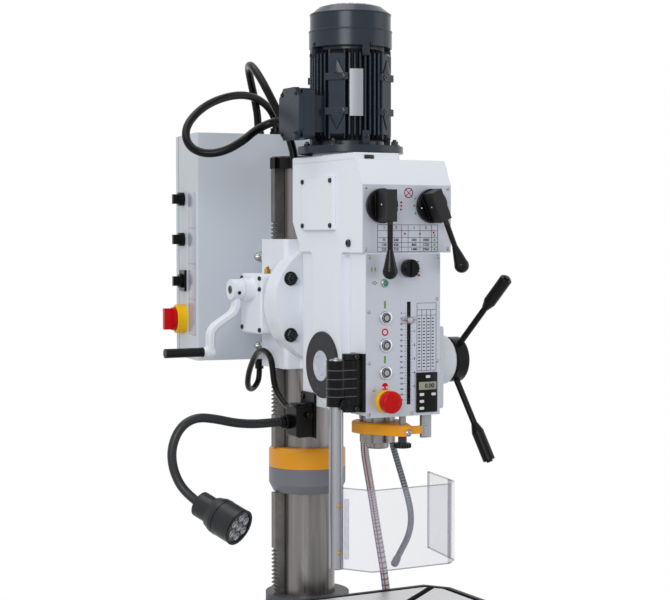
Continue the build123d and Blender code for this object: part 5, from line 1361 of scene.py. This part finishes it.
class DRILL_OT_motor_fittings(bpy.types.Operator):
    """Fits the motor's screws, tie lugs, gussets, cowl beads and bare rating plate"""

    bl_idname = "drill.motor_fittings"
    bl_label = "Motor fittings"

    axis = (0, -180)
    pads = {42.5: 1, 121.5: -1, 222.5: 1, 301.5: -1}
    boss_z = (1851, 1915)
    lid_screws = ((-207, 1883), (-151, 1883), (-207, 1810), (-151, 1810))
    lug_angle = 263

    def bead(self, radius, z):
        """A rolled bead round the cowl."""
        inner = radius - 1
        swell = radius + 0.4
        profile = (inner, -1.6), (swell, -1.4), (radius + 1, 0), (swell, 1.4), (inner, 1.6), (inner, -1.6)
        return turned(profile, (*self.axis, z), UP, 72)

    def ring_of_four(self, angle, place=ORIGIN, direction=UP):
        return round_axis(self.axis, 4, angle, place, direction)

    def plate(self):
        """The rating plate, bent round the fins."""
        start, sweep, radius, low, high = 258.7, 18.5, 77.4, 1842, 1929
        piece = spun(((radius, low), (radius, high)), math.radians(sweep), 8)
        wall = piece.modifiers.new("thickness", "SOLIDIFY")
        wall.thickness = 0.9 * MM
        wall.offset = 1
        bpy.ops.object.modifier_apply(modifier=wall.name)
        bent = moved(piece, upright(*self.axis, start))
        settle(bent, "rating_plate", blank_plate(), "head")

    def execute(self, context):
        screws = []
        gussets = []
        gusset = turned(((0, 27), (1, 27), (15, 0), (0, 0)), ORIGIN, UP, 4)
        squat = Matrix.Diagonal((0.24, 1, 1, 1))
        over = Matrix.Rotation(math.pi, 4, "X")
        low, high = self.boss_z
        for angle, side in self.pads.items():
            pad = upright(*self.axis, angle)
            screws += [pad @ aimed((81, 10.7 * side, z), RIGHT) for z in self.boss_z]
            gussets.append(pad @ aimed((79, 0, high + 6)) @ squat)
            gussets.append(pad @ aimed((79, 0, low - 6)) @ over @ squat)
        boss_screws = repeated(turned(socket_head(6, 1.6), ORIGIN, UP, 18), screws)
        cowl = self.ring_of_four(271.5, (78.3, 0, 1978), RIGHT)
        cowl += self.ring_of_four(self.lug_angle, (79.5, 0, 1958), RIGHT)
        cowl += self.ring_of_four(self.lug_angle, (80, 0, 1806), RIGHT)
        cowl += [aimed((-130, y, z), LEFT) for y, z in self.lid_screws]
        cowl_screws = repeated(turned(socket_head(4, 2.2), ORIGIN, UP, 16), cowl)
        flange_bolts = repeated(hex_bolt(7, 7, 9.4), self.ring_of_four(40, (89, 0, 1788)))
        black = joined([boss_screws, cowl_screws, flange_bolts])
        settle(black, "motor_screws", bolt_black(), "head")
        lugs = [
            repeated(slab((64, -7, low), (reach, 7, high), 1.2), self.ring_of_four(self.lug_angle))
            for low, high, reach in ((1953.5, 1975, 79.5), (1786, 1816, 80))]
        beads = [self.bead(78.5, 2004), self.bead(76.5, 2036)]
        trim = joined([repeated(gusset, gussets), *lugs, *beads])
        settle(trim, "motor_lugs", motor_enamel(), "head")
        self.plate()
        return {"FINISHED"}


class DRILL_OT_cabinet_fittings(bpy.types.Operator):
    """Fits the cabinet's bare legend film, switch plates and door seam, and the conduits' gland nuts"""

    bl_idname = "drill.cabinet_fittings"
    bl_label = "Cabinet fittings"

    cabinet = upright(-176, 150, -8.1)
    glands = (
        ((-32, 160, 1830), UP, 14.6), ((5, 150, 1830), UP, 14.6), ((-32, 156, 1366), DOWN, 10),
        ((-58, -107, 1741), BACK, 14.6), ((-107, -140, 1840), BACK, 14.6))

    def execute(self, context):
        film = slab((-1, 5.6, 1417), (0.2, 60, 1708), 0.3)
        settle(moved(film, self.cabinet), "legend_film", legend_film(), "head")
        seam = slab((-0.25, 139.4, 1367), (0.3, 140.6, 1829), 0.1)
        settle(moved(seam, self.cabinet), "door_seam", plate_ink(), "head")
        quarter = Matrix.Rotation(math.pi / 4, 4, "Z")
        square = turned(
            ((20.6, -0.3), (20.6, 5), (30, 5), (31, 4), (31, -0.3), (20.6, -0.3)), ORIGIN, UP, 4)
        square = moved(square, self.cabinet @ aimed((0, 100, 1527), LEFT) @ quarter)
        settle(square, "selector_plate", black_plastic(), "head")
        shroud = turned(
            ((5.9, -0.3), (5.9, 18), (25, 18), (25, 19.8), (28, 19.8), (30, 18), (30.6, 0), (30.6, -0.3),
             (5.9, -0.3)), ORIGIN, UP, 40)
        shroud = moved(shroud, self.cabinet @ aimed((0, 100, 1447), LEFT))
        settle(shroud, "main_switch_shroud", signal_plastic(), "head")
        nuts = []
        for place, direction, across in self.glands:
            nut = turned(ring(across * 0.5, across, 6), ORIGIN, UP, 6)
            nuts.append(moved(nut, aimed(place, direction)))
        settle(joined(nuts), "gland_nuts", black_plastic(), "head")
        return {"FINISHED"}


class DRILL_OT_guard_fittings(bpy.types.Operator):
    """Fits the guard's hinge screws, block ridges in lighter grey as painted highlights, clamp knob, rail
    screw and shield strip
    """

    bl_idname = "drill.guard_fittings"
    bl_label = "Guard fittings"

    rail = (-128, -361)
    ridges = (1335.5, 1350, 1366.5, 1382)

    def execute(self, context):
        # The ridges are raised rings in a lighter grey than the black block: painted highlights along them.
        pieces = []
        for z in self.ridges:
            pieces.append(turned(ring(16.6, 18.1, 1.3, 0), (*self.rail, z), UP, 40))
            pieces.append(slab((self.rail[0], -376.5, z), (-95, -375, z + 1.3), 0.3))
        settle(joined(pieces), "block_ridges", nozzle_plastic_end(), "guard_arm")
        knob = turned(
            ((0, 11), (2.6, 11), (3, 9.6), (7.6, 9.6), (10, 8.6), (10.8, 7), (10.8, 2.6), (9, 1), (5, 0.6),
             (5, -4), (0, -4)), (-121.8, -378.6, 1322), FORWARD, 20)
        settle(knob, "guard_knob", black_plastic(), "guard_arm", 12)
        bolts = repeated(
            turned(socket_head(5, 3.4), ORIGIN, UP, 18), facing(-372, ((-93, 1405.5), (-93, 1312.5))))
        settle(bolts, "hinge_bolts", bolt_black(), "head")
        top = turned(socket_head(4.6, 2.6), (*self.rail, 1402), UP, 18)
        settle(top, "rail_screw", button_steel(), "guard")
        screws = repeated(
            turned(pan_head(3.6), ORIGIN, UP, 16), facing(-373.8, ((-129.3, 1142.9), (-129.3, 1059.2))))
        settle(screws, "shield_screws", brass(), "guard")
        strip = slab((-117.5, -376, 1046), (-109.5, -370.4, 1154), 1)
        settle(strip, "shield_strip", cursor_clear(), "guard")
        return {"FINISHED"}


class DRILL_OT_quill_fittings(bpy.types.Operator):
    """Fits the depth clamp's screw, the knurl of the depth nut and the scale bar's graduations"""

    bl_idname = "drill.quill_fittings"
    bl_label = "Quill fittings"

    def execute(self, context):
        screw = turned(pan_head(6.5), (13, -375.4, 1264), FORWARD, 18)
        settle(screw, "clamp_screw", button_steel(), "quill")
        knurl = repeated(
            turned(disc(1.7, 7), ORIGIN, UP, 8), round_axis((9, -360), 18, 0, (14.7, 0, 1237)))
        settle(knurl, "depth_nut_knurl", black_plastic(), "quill")
        ticks = []
        for index in range(12):
            right = 58 if index % 5 == 0 else 54
            ticks.append(level(48.6, right, 1254 + 4 * index, HALF_TICK))
        settle(printed(ticks, -364), "scale_ticks", plate_ink(), "quill")
        return {"FINISHED"}


class DRILL_OT_stand_fittings(bpy.types.Operator):
    """Bolts down the column foot and fits the coolant hose's two ferrules"""

    bl_idname = "drill.stand_fittings"
    bl_label = "Stand fittings"

    def execute(self, context):
        across = sizes().foot_bolt / MM
        bolts = repeated(hex_bolt(across * 0.8, 11, across), round_axis((0, 0), 4, 45, (98, 0, 120)))
        settle(bolts, "foot_bolts", bolt_black(), "stand")
        profile = ((8.4, -0.3), (8.4, 16), (10, 16), (10.8, 15), (10.8, 5), (12, 4), (12, -0.3), (8.4, -0.3))
        hose = DRILL_OT_coolant.hose
        high = turned(profile, hose[0], DOWN, 24)
        settle(high, "hose_ferrule_high", button_steel(), "head")
        low = turned(profile, hose[-1], UP, 24)
        settle(low, "hose_ferrule_low", button_steel(), "stand")
        return {"FINISHED"}


class DRILL_OT_studio(bpy.types.Operator):
    """Lays the floor, hangs the lamps, lights the sky and stands the camera"""

    bl_idname = "drill.studio"
    bl_label = "Studio"

    lamps = {"key": ((-2.7, -3.0, 2.9), 2.2), "fill": ((3.0, -2.0, 1.9), 2.4), "top": ((-0.6, 0.4, 4.2), 2.4)}
    lamp_target = (0, -0.15, 1.5)
    camera_place = (-1.45293, -2.82439, 1.61880)
    camera_dip = 2.2908
    camera_swing = -28.2316

    def floor(self, studio):
        deselect()
        bpy.ops.mesh.primitive_circle_add(vertices=96, radius=1.4, fill_type="NGON", location=ORIGIN)
        floor = bpy.context.object
        floor.name = "studio_floor"
        finish = Finish("studio_floor")
        cloud = finish.noise(3, 2)
        finish.surface(
            Base_Color=finish.tint(cloud, studio.floor, 0.985, 1.01),
            Roughness=cloud * 0.1 + 0.6)
        x, y = finish.axes()[:2]
        fade_from = 0.5
        fade_over = 0.8
        share = ((x * x + y * y).root() - fade_from) / fade_over
        seen = finish.ray("Is Camera Ray") + finish.ray("Is Glossy Ray")
        white = finish.node("ShaderNodeEmission", {}, {"Color": (1, 1, 1), "Strength": 1})
        faded = finish.mixed(share * seen, Value(finish, finish.shader.outputs[0]), white)
        finish.feed(finish.tree.nodes["Material Output"].inputs["Surface"], faded)
        floor.data.materials.append(finish.material)

    def hang(self, studio):
        for name, (place, size) in self.lamps.items():
            deselect()
            bpy.ops.object.light_add(type="AREA", location=place)
            lamp = bpy.context.object
            lamp.name = name + "_lamp"
            lamp.data.shape = "DISK"
            lamp.data.size = size
            lamp.data.energy = getattr(studio, name)
            aim = Vector(self.lamp_target) - Vector(place)
            lamp.rotation_euler = aim.to_track_quat("-Z", "Y").to_euler()

    def sky(self, studio):
        world = bpy.context.scene.world or bpy.data.worlds.new("Studio")
        bpy.context.scene.world = world
        world.use_nodes = True
        sky = Tree(world.node_tree)
        light = sky.node("ShaderNodeBackground", {}, {"Color": (1, 1, 1), "Strength": studio.sky})
        white = sky.node("ShaderNodeBackground", {}, {"Color": (1, 1, 1), "Strength": 1})
        seen = sky.ray("Is Camera Ray") + sky.ray("Is Glossy Ray") + sky.ray("Is Transmission Ray")
        sky.feed(sky.tree.nodes["World Output"].inputs["Surface"], sky.mixed(seen, light, white))

    def camera(self, studio):
        deselect()
        bpy.ops.object.camera_add(
            location=self.camera_place,
            rotation=(math.radians(90 - self.camera_dip), 0, math.radians(self.camera_swing)))
        camera = bpy.context.object
        camera.name = "studio_camera"
        camera.data.sensor_width = 36
        camera.data.lens = studio.lens
        bpy.context.scene.camera = camera

    def execute(self, context):
        studio = context.scene.drill_studio
        self.floor(studio)
        self.hang(studio)
        self.sky(studio)
        self.camera(studio)
        context.scene.view_settings.view_transform = "Standard"
        return {"FINISHED"}


OPERATORS = (
    DRILL_OT_studio,
    DRILL_OT_castings,
    DRILL_OT_bare_metal,
    DRILL_OT_mouldings,
    DRILL_OT_conduits,
    DRILL_OT_coolant,
    DRILL_OT_lamp,
    DRILL_OT_speed_plate,
    DRILL_OT_control_plate,
    DRILL_OT_head_fasteners,
    DRILL_OT_motor_fittings,
    DRILL_OT_cabinet_fittings,
    DRILL_OT_guard_fittings,
    DRILL_OT_quill_fittings,
    DRILL_OT_stand_fittings,
)


class VIEW3D_PT_drill(bpy.types.Panel):
    """Lists the steps that dress the drill"""

    bl_idname = "VIEW3D_PT_drill"
    bl_label = "Pillar Drill"
    bl_space_type = "VIEW_3D"
    bl_region_type = "UI"
    bl_category = "Drill"

    def draw(self, context):
        column = self.layout.column()
        for step in OPERATORS:
            column.operator(step.bl_idname)
        for group in (context.scene.drill_colours, context.scene.drill_sizes, context.scene.drill_studio):
            for name in group.__annotations__:
                column.prop(group, name)


CLASSES = (DrillColours, DrillSizes, DrillStudio, *OPERATORS, VIEW3D_PT_drill)


def register():
    for item in CLASSES:
        bpy.utils.register_class(item)
    bpy.types.Scene.drill_colours = bpy.props.PointerProperty(type=DrillColours)
    bpy.types.Scene.drill_sizes = bpy.props.PointerProperty(type=DrillSizes)
    bpy.types.Scene.drill_studio = bpy.props.PointerProperty(type=DrillStudio)


def unregister():
    del bpy.types.Scene.drill_studio
    del bpy.types.Scene.drill_sizes
    del bpy.types.Scene.drill_colours
    for item in reversed(CLASSES):
        bpy.utils.unregister_class(item)


def main():
    register()
    for step in OPERATORS:
        group, name = step.bl_idname.split(".")
        getattr(getattr(bpy.ops, group), name)()


if __name__ == "__main__":
    main()
